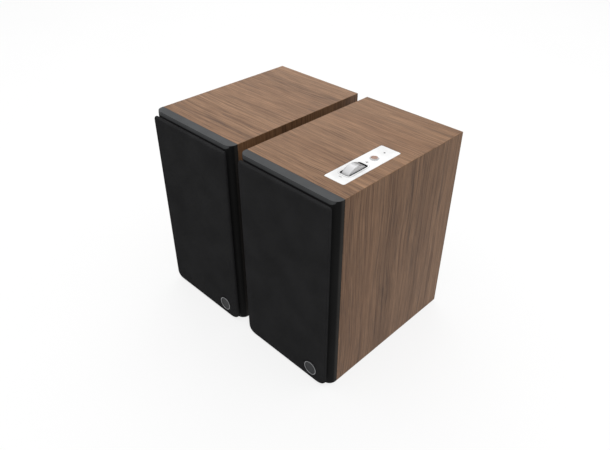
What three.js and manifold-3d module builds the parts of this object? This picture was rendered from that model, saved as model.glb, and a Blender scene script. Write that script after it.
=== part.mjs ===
// A pair of powered bookshelf speakers: an active right speaker and a passive left speaker.
// Millimetres, +Z up, the grilles face -Y, and the origin is on the floor under the pair's middle.
// Each speaker is a group whose own origin is the bottom middle of its cabinet's front edge.

import * as THREE from 'three';
import { mergeVertices } from 'three/addons/utils/BufferGeometryUtils.js';
import Module from 'manifold-3d';

const wasm = await Module();
wasm.setup();

// ---------------------------------------------------------------- driving dimensions

const WIDTH = 173.4;                 // one cabinet, across the front
const DEPTH = 246.4;                 // the wooden wrap, front to back
const HEIGHT = 312;
const WALL = 12;
const SPEAKER_GAP = 18.8;            // between the two cabinets
const FOOT_HEIGHT = 2;

const BAFFLE_THICKNESS = 14.8;
const BAFFLE_CORNER = 12.5;          // radius of its two upright edges
const GRILLE_SIDE_INSET = 4.5;
const GRILLE_TOP_INSET = 6;
const GRILLE_BOTTOM_INSET = 0.8;
const GRILLE_STAND_OFF = 2;          // between the baffle and the grille frame
const GRILLE_FRONT = -23;            // the cloth's front
const CLOTH = 0.8;

const WOOFER_Z = 100;
const WOOFER_RADIUS = 73;            // the basket's flange
const TWEETER_Z = 234;
const TWEETER_RADIUS = 52;           // the faceplate
const PORT_Z = 252;
const PORT_RADIUS = 22;              // the bore
const PORT_WALL = 2;
const PORT_LENGTH = 108;

const PLATE_X = 47.9;                // the control plate's middle, from the cabinet's middle
const PLATE_Y = 78.1;
const PLATE_WIDTH = 32.8;
const PLATE_LENGTH = 112.6;
const PLATE_CORNER = 2.5;
const PLATE_THICKNESS = 1.6;
const WHEEL_Y = 59.3;
const WHEEL_RADIUS = 23;
const WHEEL_WIDTH = 12.5;
const WHEEL_RISE = 6.4;              // how far it stands out of the plate
const BUTTON_Y = 99.2;
const BUTTON_RADIUS = 5.2;
const RING_RADIUS = 5.85;            // the button ring, where it passes through the plate
const LENS_Y = 120.1;
const LENS_RADIUS = 1.2;
const AXLE_RADIUS = 2;

const REAR_RECESS = 2;               // the rear panel sits this far inside the wrap
const REAR_PANEL_THICKNESS = 12;
const AMP_WIDTH = 132;
const AMP_HEIGHT = 186;
const AMP_Z = 112;
const CUP_Z = 112;                   // the left speaker's terminal cup
const CUP_DEPTH = 20;
const CUP_HALF_WIDTH = 34.6;
const CUP_HALF_HEIGHT = 27.6;
const FLANGE_THICKNESS = 3;          // the plate under the right speaker's posts
const POST_SPACING = 19;
const CAP_RADIUS = 6.4;
const CAP_LENGTH = 15;

// ---------------------------------------------------------------- clearances and resolution

const SEAM = 0.2;                    // between two faces that are glued or screwed together
const FIT = 0.3;                     // round a piece that sits in a hole
const COARSE = 12;                   // sides of a small round piece
const MEDIUM = 16;
const BOARD = 1.6;                   // thickness of every circuit board
const DRIVER = 24;                   // sides of everything round that meets on a driver's axis
const WHEEL_SIDES = 48;

// ---------------------------------------------------------------- derived places

const FACE = -BAFFLE_THICKNESS;      // the baffle's front face
const REAR_FACE = DEPTH - REAR_RECESS;
const PLATE_TOP = HEIGHT;
const HOUSING_TOP = PLATE_TOP - PLATE_THICKNESS - SEAM;
const WHEEL_Z = PLATE_TOP + WHEEL_RISE - WHEEL_RADIUS;
const AMP_THICKNESS = 2;
const PANEL_FACE = REAR_FACE + SEAM + AMP_THICKNESS;   // the amplifier panel's outer face
const GRILLE_WIDTH = WIDTH - 2 * GRILLE_SIDE_INSET;
const GRILLE_BACK = FACE - GRILLE_STAND_OFF;
const BADGE_FRONT = GRILLE_FRONT - 1.5;
const REAR_REACH = PANEL_FACE + FLANGE_THICKNESS + SEAM + CAP_LENGTH;
const FRONT_EDGE_Y = -(BADGE_FRONT + REAR_REACH) / 2;

// ---------------------------------------------------------------- materials

function finish(color, roughness, metalness = 0) {
  return new THREE.MeshStandardMaterial({ color, roughness, metalness });
}

const walnut = finish(0x8a6a54, 0.5);
const blackSatin = finish(0x333435, 0.5);
const blackVinyl = finish(0x1c1c1d, 0.7);
const framePlastic = finish(0x141415, 0.6);
const clothBlack = finish(0x1d1d1e, 0.95);
const gunmetal = finish(0x4a4b4e, 0.35, 0.8);
const platePaint = finish(0xd9d9d7, 0.45);
const aluminium = finish(0xb4b6b8, 0.35, 1);
const copper = finish(0xb4775a, 0.35, 0.9);
const chrome = finish(0xc8cacc, 0.15, 1);
const lensRed = finish(0x5a1512, 0.2);
const steel = finish(0x9a9c9f, 0.4, 1);
const ferrite = finish(0x2a2a2c, 0.7);
const basketPaint = finish(0x1f2022, 0.5, 0.4);
const paperCone = finish(0x26272a, 0.8);
const surroundRubber = finish(0x17171a, 0.75);
const spiderCloth = finish(0xb98a4e, 0.9);
const silk = finish(0x1b1b1e, 0.8);
const panelPaint = finish(0x222325, 0.55, 0.5);
const boardGreen = finish(0x1f5a38, 0.6);
const footRubber = finish(0x161616, 0.9);
const capRed = finish(0xa01c1a, 0.35);
const capBlack = finish(0x18181a, 0.35);

// ---------------------------------------------------------------- solids

function toManifold(geometry) {
  const bare = geometry.clone();
  bare.deleteAttribute('normal');
  bare.deleteAttribute('uv');
  const merged = mergeVertices(bare, 1e-4);
  const corners = Array.from(merged.index.array);
  const kept = [];
  for (let i = 0; i < corners.length; i += 3) {
    const [a, b, c] = corners.slice(i, i + 3);
    if (a !== b && b !== c && c !== a) {
      kept.push(a, b, c);
    }
  }
  const mesh = new wasm.Mesh({
    numProp: 3,
    vertProperties: new Float32Array(merged.attributes.position.array),
    triVerts: new Uint32Array(kept),
  });
  return new wasm.Manifold(mesh);
}

function toGeometry(manifold) {
  const mesh = manifold.getMesh();
  const geometry = new THREE.BufferGeometry();
  geometry.setAttribute('position', new THREE.BufferAttribute(mesh.vertProperties, 3));
  geometry.setIndex(new THREE.BufferAttribute(mesh.triVerts, 1));
  geometry.computeVertexNormals();
  return geometry;
}

function join(...geometries) {
  const solids = geometries.map(toManifold);
  return toGeometry(solids.reduce((whole, next) => whole.add(next)));
}

function cut(geometry, ...tools) {
  const solids = tools.map(toManifold);
  return toGeometry(solids.reduce((whole, tool) => whole.subtract(tool), toManifold(geometry)));
}

function block(x0, x1, y0, y1, z0, z1) {
  const geometry = new THREE.BoxGeometry(x1 - x0, y1 - y0, z1 - z0);
  return geometry.translate((x0 + x1) / 2, (y0 + y1) / 2, (z0 + z1) / 2);
}

// A body of revolution about the Y axis, moved to (x, z). The profile is a closed loop of
// [radius, y] points, anticlockwise with the radius to the right.
function turn(profile, x, z, segments = MEDIUM) {
  const points = [...profile, profile[0]].map(([radius, y]) => new THREE.Vector2(radius, y));
  return toGeometry(toManifold(new THREE.LatheGeometry(points, segments))).translate(x, 0, z);
}

// The same about the Z axis, moved to (x, y). The profile's points are [radius, z].
function turnUpright(profile, x, y, segments = MEDIUM) {
  const points = [...profile, profile[0]].map(([radius, z]) => new THREE.Vector2(radius, z));
  const geometry = toGeometry(toManifold(new THREE.LatheGeometry(points, segments)));
  return geometry.rotateX(Math.PI / 2).translate(x, y, 0);
}

function disc(radius, y0, y1, x, z, segments = MEDIUM) {
  const geometry = new THREE.CylinderGeometry(radius, radius, y1 - y0, segments);
  return geometry.translate(x, (y0 + y1) / 2, z);
}

function upright(radius, z0, z1, x, y, segments = MEDIUM) {
  const geometry = new THREE.CylinderGeometry(radius, radius, z1 - z0, segments);
  return geometry.rotateX(Math.PI / 2).translate(x, y, (z0 + z1) / 2);
}

function crossRod(radius, x0, x1, y, z, segments = COARSE) {
  const geometry = new THREE.CylinderGeometry(radius, radius, x1 - x0, segments);
  return geometry.rotateZ(-Math.PI / 2).translate((x0 + x1) / 2, y, z);
}

function roundedRectangle(width, height, radius) {
  const [w, h] = [width / 2, height / 2];
  const shape = new THREE.Shape();
  shape.moveTo(-w + radius, -h);
  shape.lineTo(w - radius, -h);
  shape.absarc(w - radius, -h + radius, radius, -Math.PI / 2, 0);
  shape.absarc(w - radius, h - radius, radius, 0, Math.PI / 2);
  shape.absarc(-w + radius, h - radius, radius, Math.PI / 2, Math.PI);
  shape.absarc(-w + radius, -h + radius, radius, Math.PI, 1.5 * Math.PI);
  return shape;
}

// A slab that lies flat: the outline in X and Y, raised from z0 to z1.
function flatSlab(width, length, radius, x, y, z0, z1, curveSegments = 3) {
  const outline = roundedRectangle(width, length, radius);
  const settings = { depth: z1 - z0, bevelEnabled: false, curveSegments };
  return new THREE.ExtrudeGeometry(outline, settings).translate(x, y, z0);
}

// A slab that stands: the outline in X and Z, from y0 back to y1.
function standingSlab(width, height, radius, x, z, y0, y1, curveSegments = 2) {
  const outline = roundedRectangle(width, height, radius);
  const settings = { depth: y1 - y0, bevelEnabled: false, curveSegments };
  return new THREE.ExtrudeGeometry(outline, settings).rotateX(Math.PI / 2).translate(x, y1, z);
}

// An upright board whose two front edges are rounded, seen from above.
function roundFrontedBoard(width, back, front, radius, z0, z1) {
  const half = width / 2;
  const outline = new THREE.Shape();
  outline.moveTo(half, back);
  outline.lineTo(-half, back);
  outline.lineTo(-half, front + radius);
  outline.absarc(-half + radius, front + radius, radius, Math.PI, 1.5 * Math.PI);
  outline.absarc(half - radius, front + radius, radius, 1.5 * Math.PI, 2 * Math.PI);
  const settings = { depth: z1 - z0, bevelEnabled: false, curveSegments: 5 };
  return new THREE.ExtrudeGeometry(outline, settings).translate(0, 0, z0);
}

function addPiece(group, name, geometry, material) {
  const mesh = new THREE.Mesh(geometry, material);
  mesh.name = name;
  group.add(mesh);
  return mesh;
}

// ---------------------------------------------------------------- cabinet

const PEG_X = 72;
const PEG_HEIGHTS = [44, 272];
const PEG_RADIUS = 2.8;
const PEG_LENGTH = 8;
const PEG_FIT = 0.4;                 // round a peg in its socket
const PEG_SIDES = 8;

function pegPlaces() {
  return PEG_HEIGHTS.flatMap((z) => [[-PEG_X, z], [PEG_X, z]]);
}

function addCabinet(speaker, side) {
  const half = WIDTH / 2;
  const inside = half - WALL;
  const shell = block(-half, half, 0, DEPTH, 0, HEIGHT);
  const hollow = block(-inside, inside, -1, DEPTH + 1, WALL, HEIGHT - WALL);
  const tools = [hollow];
  if (side === 'right') {
    const window = [PLATE_WIDTH + 2 * FIT, PLATE_LENGTH + 2 * FIT, PLATE_CORNER + FIT];
    tools.push(flatSlab(...window, PLATE_X, PLATE_Y, HEIGHT - WALL - 1, HEIGHT + 1));
  }
  addPiece(speaker, `${side}_cabinet`, cut(shell, ...tools), walnut);
}

// The front board. A thicker middle sits inside the wrap, and each driver has a recess and a hole.
function addBaffle(speaker, side) {
  const inside = WIDTH / 2 - WALL - FIT;
  const tongue = 8;
  const past = tongue + 1;
  const [wooferHole, wooferRecess] = [66, 7];
  const [tweeterHole, tweeterRecess] = [40, 4.3];
  const board = roundFrontedBoard(WIDTH, -SEAM, FACE, BAFFLE_CORNER, 0, HEIGHT);
  const middle = block(-inside, inside, -1, tongue, WALL + FIT, HEIGHT - WALL - FIT);
  const sockets = pegPlaces().map(([x, z]) => (
    disc(PEG_RADIUS + PEG_FIT, FACE - 1, FACE + PEG_LENGTH + 2, x, z, PEG_SIDES)
  ));
  const holes = [
    disc(WOOFER_RADIUS + FIT, FACE - 1, FACE + wooferRecess, 0, WOOFER_Z, DRIVER),
    disc(wooferHole, FACE, past, 0, WOOFER_Z, DRIVER),
    disc(TWEETER_RADIUS + FIT, FACE - 1, FACE + tweeterRecess, 0, TWEETER_Z, DRIVER),
    disc(tweeterHole, FACE, past, 0, TWEETER_Z, DRIVER),
    ...sockets,
  ];
  addPiece(speaker, `${side}_baffle`, cut(join(board, middle), ...holes), blackSatin);
}

// The back board, with a hole for the port and one for the amplifier or the terminal cup.
function addRearPanel(speaker, side) {
  const inside = WIDTH / 2 - WALL - FIT;
  const front = REAR_FACE - REAR_PANEL_THICKNESS;
  const board = block(-inside, inside, front, REAR_FACE, WALL + FIT, HEIGHT - WALL - FIT);
  const lap = 8;
  const [halfWidth, halfHeight, middle] = side === 'right'
    ? [AMP_WIDTH / 2 - lap, AMP_HEIGHT / 2 - lap, AMP_Z]
    : [CUP_HALF_WIDTH + 0.4, CUP_HALF_HEIGHT + 0.4, CUP_Z];
  const opening = block(-halfWidth, halfWidth, 0, DEPTH, middle - halfHeight, middle + halfHeight);
  const portHole = disc(PORT_RADIUS + PORT_WALL + FIT, 0, DEPTH, 0, PORT_Z, DRIVER);
  addPiece(speaker, `${side}_rear_panel`, cut(board, opening, portHole), blackVinyl);
}

function addPort(speaker, side) {
  const face = REAR_FACE + SEAM;
  const flare = 7;
  const bore = PORT_RADIUS;
  const profile = [
    [bore, face - PORT_LENGTH],
    [bore + PORT_WALL, face - PORT_LENGTH],
    [bore + PORT_WALL, face],
    [bore + 10, face],
    [bore + 10, face + 1.2],
    [bore + flare + 1, face + 2.2],
    [bore + 0.5 * flare, face + 0.4],
    [bore + 0.15 * flare, face - 3],
    [bore, face - flare],
  ];
  addPiece(speaker, `${side}_port_tube`, turn(profile, 0, PORT_Z, DRIVER), blackSatin);
}

function addFeet(speaker, side) {
  const [length, width, corner] = [WIDTH - 30, 12, 5.5];
  const places = { front: 14, rear: DEPTH - 22 };
  for (const [name, y] of Object.entries(places)) {
    const strip = flatSlab(length, width, corner, 0, y, -FOOT_HEIGHT, -SEAM / 4);
    addPiece(speaker, `${side}_${name}_foot`, strip, footRubber);
  }
}

// ---------------------------------------------------------------- grille

const FRAME_BACK = GRILLE_BACK;
const FRAME_FRONT = GRILLE_FRONT + CLOTH + SEAM;
const FRAME_BOTTOM = GRILLE_BOTTOM_INSET + CLOTH;
const FRAME_TOP = HEIGHT - GRILLE_TOP_INSET - CLOTH;
const FRAME_CORNER = 4.6;            // radius of its upright front edges
const RAIL = 13;                     // width of its rails
const CROSSBAR_BOTTOM = 173.5;       // the bar between the woofer's and the tweeter's windows
const CROSSBAR_TOP = 183.5;
const WINDOW_CORNER = 10;
const BADGE_X = 56;
const BADGE_Z = 21.7;
const BADGE_RADIUS = 11.2;

function frameWindow(width, bottom, top) {
  const middle = (bottom + top) / 2;
  const [near, far] = [FRAME_FRONT - 1, FRAME_BACK + 1];
  return standingSlab(width, top - bottom, WINDOW_CORNER, 0, middle, near, far, 3);
}

// The frame with its four pegs and a pad behind the badge, the cloth over its front, and the badge.
function addGrille(speaker, side) {
  const width = GRILLE_WIDTH - 2 * CLOTH;
  const board = roundFrontedBoard(width, FRAME_BACK, FRAME_FRONT, FRAME_CORNER, FRAME_BOTTOM, FRAME_TOP);
  const windows = [
    frameWindow(width - 2 * RAIL, FRAME_BOTTOM + RAIL, CROSSBAR_BOTTOM),
    frameWindow(width - 2 * RAIL, CROSSBAR_TOP, FRAME_TOP - RAIL),
  ];
  const padReach = BADGE_RADIUS + 2;
  const pad = block(
    BADGE_X - padReach, width / 2 - FRAME_CORNER - 1,
    FRAME_FRONT, FRAME_BACK,
    FRAME_BOTTOM + 1, BADGE_Z + padReach,
  );
  const pegs = pegPlaces().map(([x, z]) => (
    disc(PEG_RADIUS, FRAME_BACK - 1, FACE + PEG_LENGTH, x, z, PEG_SIDES)
  ));
  const frame = join(cut(board, ...windows), pad, ...pegs);
  addPiece(speaker, `${side}_grille_frame`, frame, framePlastic);

  const clothOutline = [width - 6, FRAME_TOP - FRAME_BOTTOM - 3, 5, 0, (FRAME_TOP + FRAME_BOTTOM) / 2];
  const cloth = standingSlab(...clothOutline, GRILLE_FRONT, GRILLE_FRONT + CLOTH);
  addPiece(speaker, `${side}_grille_cloth`, cloth, clothBlack);

  const back = GRILLE_FRONT - SEAM;
  const badge = [
    [0, BADGE_FRONT + 0.5],
    [BADGE_RADIUS - 1.6, BADGE_FRONT + 0.5],
    [BADGE_RADIUS - 1.4, BADGE_FRONT],
    [BADGE_RADIUS - 0.4, BADGE_FRONT],
    [BADGE_RADIUS, BADGE_FRONT + 0.4],
    [BADGE_RADIUS, back],
    [0, back],
  ];
  addPiece(speaker, `${side}_badge`, turn(badge, BADGE_X, BADGE_Z), gunmetal);
}

// ---------------------------------------------------------------- drivers

function addTweeter(speaker, side) {
  const faceplate = [
    [14.8, FACE + 5.8],
    [20, FACE + 4.2],
    [26, FACE + 2],
    [33, FACE],
    [TWEETER_RADIUS, FACE],
    [TWEETER_RADIUS, FACE + 4],
    [36, FACE + 4],
    [36, FACE + 8],
    [14.8, FACE + 8],
  ];
  addPiece(speaker, `${side}_tweeter_faceplate`, turn(faceplate, 0, TWEETER_Z, DRIVER), blackSatin);

  const dome = [
    [0, FACE + 3.2],
    [7, FACE + 4.2],
    [12.2, FACE + 7],
    [13.3, FACE + 6.4],
    [14.4, FACE + 7],
    [14.4, FACE + 7.6],
    [12.7, FACE + 7.6],
    [12.7, FACE + 13],
    [12.2, FACE + 13],
    [12.2, FACE + 7.7],
    [6.8, FACE + 4.9],
    [0, FACE + 3.8],
  ];
  addPiece(speaker, `${side}_tweeter_dome`, turn(dome, 0, TWEETER_Z, DRIVER), silk);

  const motor = [
    [0, FACE + 8.3],
    [11.7, FACE + 8.3],
    [11.7, FACE + 16],
    [13.3, FACE + 16],
    [13.3, FACE + 8.3],
    [32, FACE + 8.3],
    [32, FACE + 12],
    [35, FACE + 12],
    [35, FACE + 26],
    [32, FACE + 26],
    [32, FACE + 30],
    [0, FACE + 30],
  ];
  addPiece(speaker, `${side}_tweeter_motor`, turn(motor, 0, TWEETER_Z), ferrite);
}

function addWooferBasket(speaker, side) {
  const profile = [
    [20, FACE + 48.5],
    [37, FACE + 48.5],
    [39, FACE + 44.2],
    [43.8, FACE + 44.2],
    [58.8, FACE + 19.5],
    [60.3, FACE + 6.5],
    [60.3, FACE + 4.6],
    [66.5, FACE + 4.6],
    [66.5, FACE],
    [WOOFER_RADIUS, FACE],
    [WOOFER_RADIUS, FACE + 6.6],
    [63, FACE + 6.6],
    [61, FACE + 20],
    [46, FACE + 46],
    [44, FACE + 51],
    [20, FACE + 51],
  ];
  const bowl = turn(profile, 0, WOOFER_Z, DRIVER);
  const windows = [];
  const arms = 6;
  for (let arm = 0; arm < arms; arm += 1) {
    const angle = ((arm + 0.5) * 2 * Math.PI) / arms;
    const window = block(-20, 20, FACE + 14, FACE + 40, 30, 80);
    windows.push(window.rotateY(angle).translate(0, 0, WOOFER_Z));
  }
  addPiece(speaker, `${side}_woofer_basket`, cut(bowl, ...windows), basketPaint);
}

// A half-roll ring of rubber between the basket and the cone.
function addSurround(speaker, side) {
  const seat = FACE + 4.4;
  const thickness = 0.8;
  const middle = 55;
  const outer = [];
  const inner = [];
  const steps = 3;
  for (let step = 0; step <= steps; step += 1) {
    const angle = (Math.PI * step) / steps;
    const [along, up] = [Math.cos(angle), Math.sin(angle)];
    outer.push([middle - 5.6 * along, seat - thickness - 5.2 * up]);
    inner.push([middle + 4.8 * along, seat - 5.2 * up]);
  }
  const profile = [
    [45, seat - thickness],
    ...outer,
    [66.2, seat - thickness],
    [66.2, seat],
    ...inner,
    [45, seat],
  ];
  addPiece(speaker, `${side}_woofer_surround`, turn(profile, 0, WOOFER_Z, DRIVER), surroundRubber);
}

// The cone and, behind its neck, the former that carries the voice coil.
function addCone(speaker, side) {
  const profile = [
    [17.6, FACE + 33],
    [48.6, FACE + 4.8],
    [49.4, FACE + 4.8],
    [49.4, FACE + 5.6],
    [17.8, FACE + 34.6],
    [16.8, FACE + 36],
    [16.8, FACE + 62],
    [16, FACE + 62],
    [16, FACE + 33],
  ];
  addPiece(speaker, `${side}_woofer_cone`, turn(profile, 0, WOOFER_Z, DRIVER), paperCone);

  const dustCap = [
    [0, FACE + 22.5],
    [11, FACE + 24.6],
    [19.6, FACE + 30.7],
    [18.6, FACE + 30.9],
    [10.6, FACE + 25.4],
    [0, FACE + 23.3],
  ];
  addPiece(speaker, `${side}_woofer_dust_cap`, turn(dustCap, 0, WOOFER_Z, DRIVER), paperCone);
}

// A corrugated ring that centres the coil former in the basket.
function addSpider(speaker, side) {
  const front = [];
  const back = [];
  const folds = 2;
  const start = 22;
  const pitch = 8;
  for (let fold = 0; fold <= folds; fold += 1) {
    const height = FACE + 42.2 + (fold % 2);
    front.push([start + fold * pitch, height]);
    back.unshift([start + fold * pitch, height + 0.6]);
  }
  const profile = [
    [17.1, FACE + 42.8],
    ...front,
    [43, FACE + 43.1],
    [43, FACE + 43.9],
    ...back,
    [17.1, FACE + 43.4],
  ];
  addPiece(speaker, `${side}_woofer_spider`, turn(profile, 0, WOOFER_Z, DRIVER), spiderCloth);
}

function addWooferMotor(speaker, side) {
  const profile = [
    [0, FACE + 50],
    [15.2, FACE + 50],
    [15.2, FACE + 70],
    [18.6, FACE + 70],
    [18.6, FACE + 51.3],
    [40, FACE + 51.3],
    [40, FACE + 57],
    [46, FACE + 57],
    [46, FACE + 75],
    [40, FACE + 75],
    [40, FACE + 80],
    [0, FACE + 80],
  ];
  addPiece(speaker, `${side}_woofer_motor`, turn(profile, 0, WOOFER_Z), ferrite);
}

// ---------------------------------------------------------------- controls on top

function addControlPlate(speaker) {
  const [below, above] = [PLATE_TOP - 5, PLATE_TOP + 1];
  const slot = flatSlab(15.6, 37.4, 3.1, PLATE_X, WHEEL_Y, below, above);
  const buttonHole = upright(RING_RADIUS + 0.15, below, above, PLATE_X, BUTTON_Y);
  const lensHole = upright(LENS_RADIUS + 0.2, below, above, PLATE_X, LENS_Y, COARSE);
  const outline = [PLATE_WIDTH, PLATE_LENGTH, PLATE_CORNER, PLATE_X, PLATE_Y];
  const slab = flatSlab(...outline, PLATE_TOP - PLATE_THICKNESS, PLATE_TOP);
  addPiece(speaker, 'control_plate', cut(slab, slot, buttonHole, lensHole), platePaint);
}

// A tray under the plate, with a deep pocket that holds the wheel on its axle.
function addControlHousing(speaker) {
  const wall = 2.2;
  const trayFloor = PLATE_TOP - 14;
  const pocketFloor = WHEEL_Z - WHEEL_RADIUS - 1.4;
  const pocketReach = WHEEL_RADIUS + 1;
  const halfWidth = PLATE_WIDTH / 2;
  const outline = [PLATE_WIDTH, PLATE_LENGTH, PLATE_CORNER, PLATE_X, PLATE_Y];
  const tray = flatSlab(...outline, trayFloor - wall, HOUSING_TOP);
  const pocket = block(
    PLATE_X - halfWidth, PLATE_X + halfWidth,
    WHEEL_Y - pocketReach - wall, WHEEL_Y + pocketReach + wall,
    pocketFloor - wall, trayFloor,
  );
  const trayHollow = block(
    PLATE_X - halfWidth + wall, PLATE_X + halfWidth - wall,
    PLATE_Y - PLATE_LENGTH / 2 + wall, PLATE_Y + PLATE_LENGTH / 2 - wall,
    trayFloor, PLATE_TOP,
  );
  const pocketHollow = block(
    PLATE_X - halfWidth + wall, PLATE_X + halfWidth - wall,
    WHEEL_Y - pocketReach, WHEEL_Y + pocketReach,
    pocketFloor, PLATE_TOP,
  );
  const bore = AXLE_RADIUS + 0.08;
  const bearing = crossRod(bore, PLATE_X - PLATE_WIDTH, PLATE_X + PLATE_WIDTH, WHEEL_Y, WHEEL_Z);
  const housing = cut(join(tray, pocket), trayHollow, pocketHollow, bearing);
  addPiece(speaker, 'control_housing', housing, framePlastic);
}

function addVolumeWheel(speaker) {
  const half = WHEEL_WIDTH / 2;
  const edge = 0.8;
  const hub = AXLE_RADIUS + FIT;
  const profile = [
    [hub, -half],
    [WHEEL_RADIUS - edge, -half],
    [WHEEL_RADIUS, -half + edge],
    [WHEEL_RADIUS, half - edge],
    [WHEEL_RADIUS - edge, half],
    [hub, half],
  ];
  const wheel = turn(profile, 0, 0, WHEEL_SIDES).rotateZ(-Math.PI / 2);
  wheel.translate(PLATE_X, WHEEL_Y, WHEEL_Z);
  addPiece(speaker, 'volume_wheel', wheel, aluminium);

  const reach = PLATE_WIDTH / 2 - 0.4;
  const axle = crossRod(AXLE_RADIUS, PLATE_X - reach, PLATE_X + reach, WHEEL_Y, WHEEL_Z);
  addPiece(speaker, 'volume_axle', axle, steel);
}

const BUTTON_SWITCH_TOP = PLATE_TOP - 7;

// The button has a shoulder that the ring round it holds down.
function addSourceButton(speaker) {
  const cap = PLATE_TOP + 1.2;
  const profile = [
    [0, PLATE_TOP - 5.6],
    [RING_RADIUS, PLATE_TOP - 5.6],
    [RING_RADIUS, PLATE_TOP - 4.4],
    [BUTTON_RADIUS, PLATE_TOP - 4.4],
    [BUTTON_RADIUS, cap - 0.4],
    [BUTTON_RADIUS - 0.4, cap],
    [0, cap - 0.3],
  ];
  addPiece(speaker, 'source_button', turnUpright(profile, PLATE_X, BUTTON_Y), copper);

  const lip = RING_RADIUS + 0.85;
  const ring = [
    [BUTTON_RADIUS + FIT, PLATE_TOP - 4.1],
    [RING_RADIUS, PLATE_TOP - 4.1],
    [RING_RADIUS, PLATE_TOP + SEAM / 2],
    [lip, PLATE_TOP + SEAM / 2],
    [lip - 0.2, PLATE_TOP + 0.7],
    [BUTTON_RADIUS + FIT, PLATE_TOP + 0.7],
  ];
  addPiece(speaker, 'button_ring', turnUpright(ring, PLATE_X, BUTTON_Y), chrome);
}

function addStatusLens(speaker) {
  const lens = upright(LENS_RADIUS, PLATE_TOP - 4, PLATE_TOP + 0.2, PLATE_X, LENS_Y, COARSE);
  addPiece(speaker, 'status_lens', lens, lensRed);
}

// The board under the button and the lamp, with the key that the button presses.
function addControlBoard(speaker) {
  const boardTop = PLATE_TOP - 11.5;
  const board = block(PLATE_X - 13, PLATE_X + 13, 90, 131, boardTop - BOARD, boardTop);
  const key = block(
    PLATE_X - 3, PLATE_X + 3,
    BUTTON_Y - 3, BUTTON_Y + 3,
    boardTop - 0.5, BUTTON_SWITCH_TOP - 1.5,
  );
  const plunger = upright(1.7, BUTTON_SWITCH_TOP - 2, BUTTON_SWITCH_TOP, PLATE_X, BUTTON_Y, COARSE);
  const lamp = upright(1, boardTop - 0.5, PLATE_TOP - 5, PLATE_X, LENS_Y, COARSE);
  addPiece(speaker, 'control_board', join(board, key, plunger, lamp), boardGreen);
}

// ---------------------------------------------------------------- amplifier at the back

// What passes through the amplifier panel: each body's middle, and half its width and height.
const POSTS = { x: -32, z: 174, halfWidth: 17.6, halfHeight: 7.6 };
const JACKS = { x: 30, z: 170, halfWidth: 15.6, halfHeight: 15.6 };
const DIGITAL = { x: 30, z: 122, halfWidth: 19.6, halfHeight: 7.6 };
const INLET = { x: 34, z: 42, halfWidth: 11.6, halfHeight: 7.6 };
const SWITCH = { x: -2, z: 42, halfWidth: 6.6, halfHeight: 10.1 };

function bodyBlock(body, gap, y0, y1) {
  const [halfWidth, halfHeight] = [body.halfWidth + gap, body.halfHeight + gap];
  return block(
    body.x - halfWidth, body.x + halfWidth,
    y0, y1,
    body.z - halfHeight, body.z + halfHeight,
  );
}

function addAmpPanel(speaker) {
  const face = REAR_FACE + SEAM;
  const plate = standingSlab(AMP_WIDTH, AMP_HEIGHT, 6, 0, AMP_Z, face, PANEL_FACE);
  const gap = 0.4;
  const holes = [POSTS, JACKS, DIGITAL, INLET, SWITCH].map((body) => (
    bodyBlock(body, gap, face - 1, PANEL_FACE + 1)
  ));
  addPiece(speaker, 'amp_panel', cut(plate, ...holes), panelPaint);
}

// One phono jack's barrel and its bore.
function addJack(barrels, bores, x, z) {
  const y1 = PANEL_FACE;
  barrels.push(disc(4.2, y1, y1 + 9.5, x, z, COARSE));
  bores.push(disc(1.7, y1 + 2, y1 + 10, x, z, 8));
}

function addRcaJacks(speaker) {
  const base = bodyBlock(JACKS, 0, PANEL_FACE - 14, PANEL_FACE + 0.6);
  const pitch = 15;
  const barrels = [];
  const bores = [];
  for (const x of [JACKS.x - pitch / 2, JACKS.x + pitch / 2]) {
    for (const z of [JACKS.z - pitch / 2, JACKS.z + pitch / 2]) {
      addJack(barrels, bores, x, z);
    }
  }
  addPiece(speaker, 'rca_jacks', cut(join(base, ...barrels), ...bores), blackSatin);
}

// An optical socket behind its flap, a coaxial jack and a mini-jack, in one block.
function addDigitalPorts(speaker) {
  const y1 = PANEL_FACE;
  const [optical, coax, mini] = [DIGITAL.x + 12, DIGITAL.x - 1, DIGITAL.x - 13];
  const base = bodyBlock(DIGITAL, 0, y1 - 14, y1 + 0.6);
  const barrels = [
    block(optical - 5, optical + 5, y1, y1 + 2.4, DIGITAL.z - 5, DIGITAL.z + 5),
    disc(4, y1, y1 + 2, mini, DIGITAL.z, COARSE),
  ];
  const bores = [disc(1.8, y1 - 12, y1 + 3, mini, DIGITAL.z, COARSE)];
  addJack(barrels, bores, coax, DIGITAL.z);
  addPiece(speaker, 'digital_ports', cut(join(base, ...barrels), ...bores), blackSatin);
}

// A two-pin mains inlet.
function addMainsInlet(speaker) {
  const y1 = PANEL_FACE;
  const body = bodyBlock(INLET, 0, y1 - 16, y1 + 0.5);
  const flange = standingSlab(34, 20, 3, INLET.x, INLET.z, y1 + SEAM, y1 + 2.5);
  const socket = standingSlab(19, 10, 4.9, INLET.x, INLET.z, y1 - 12, y1 + 4);
  const pins = [-4.3, 4.3].map((x) => disc(1.2, y1 - 13, y1 - 2, INLET.x + x, INLET.z, 12));
  addPiece(speaker, 'ac_inlet', join(cut(join(body, flange), socket), ...pins), blackSatin);
}

const ROCKER_TILT = THREE.MathUtils.degToRad(9);

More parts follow.
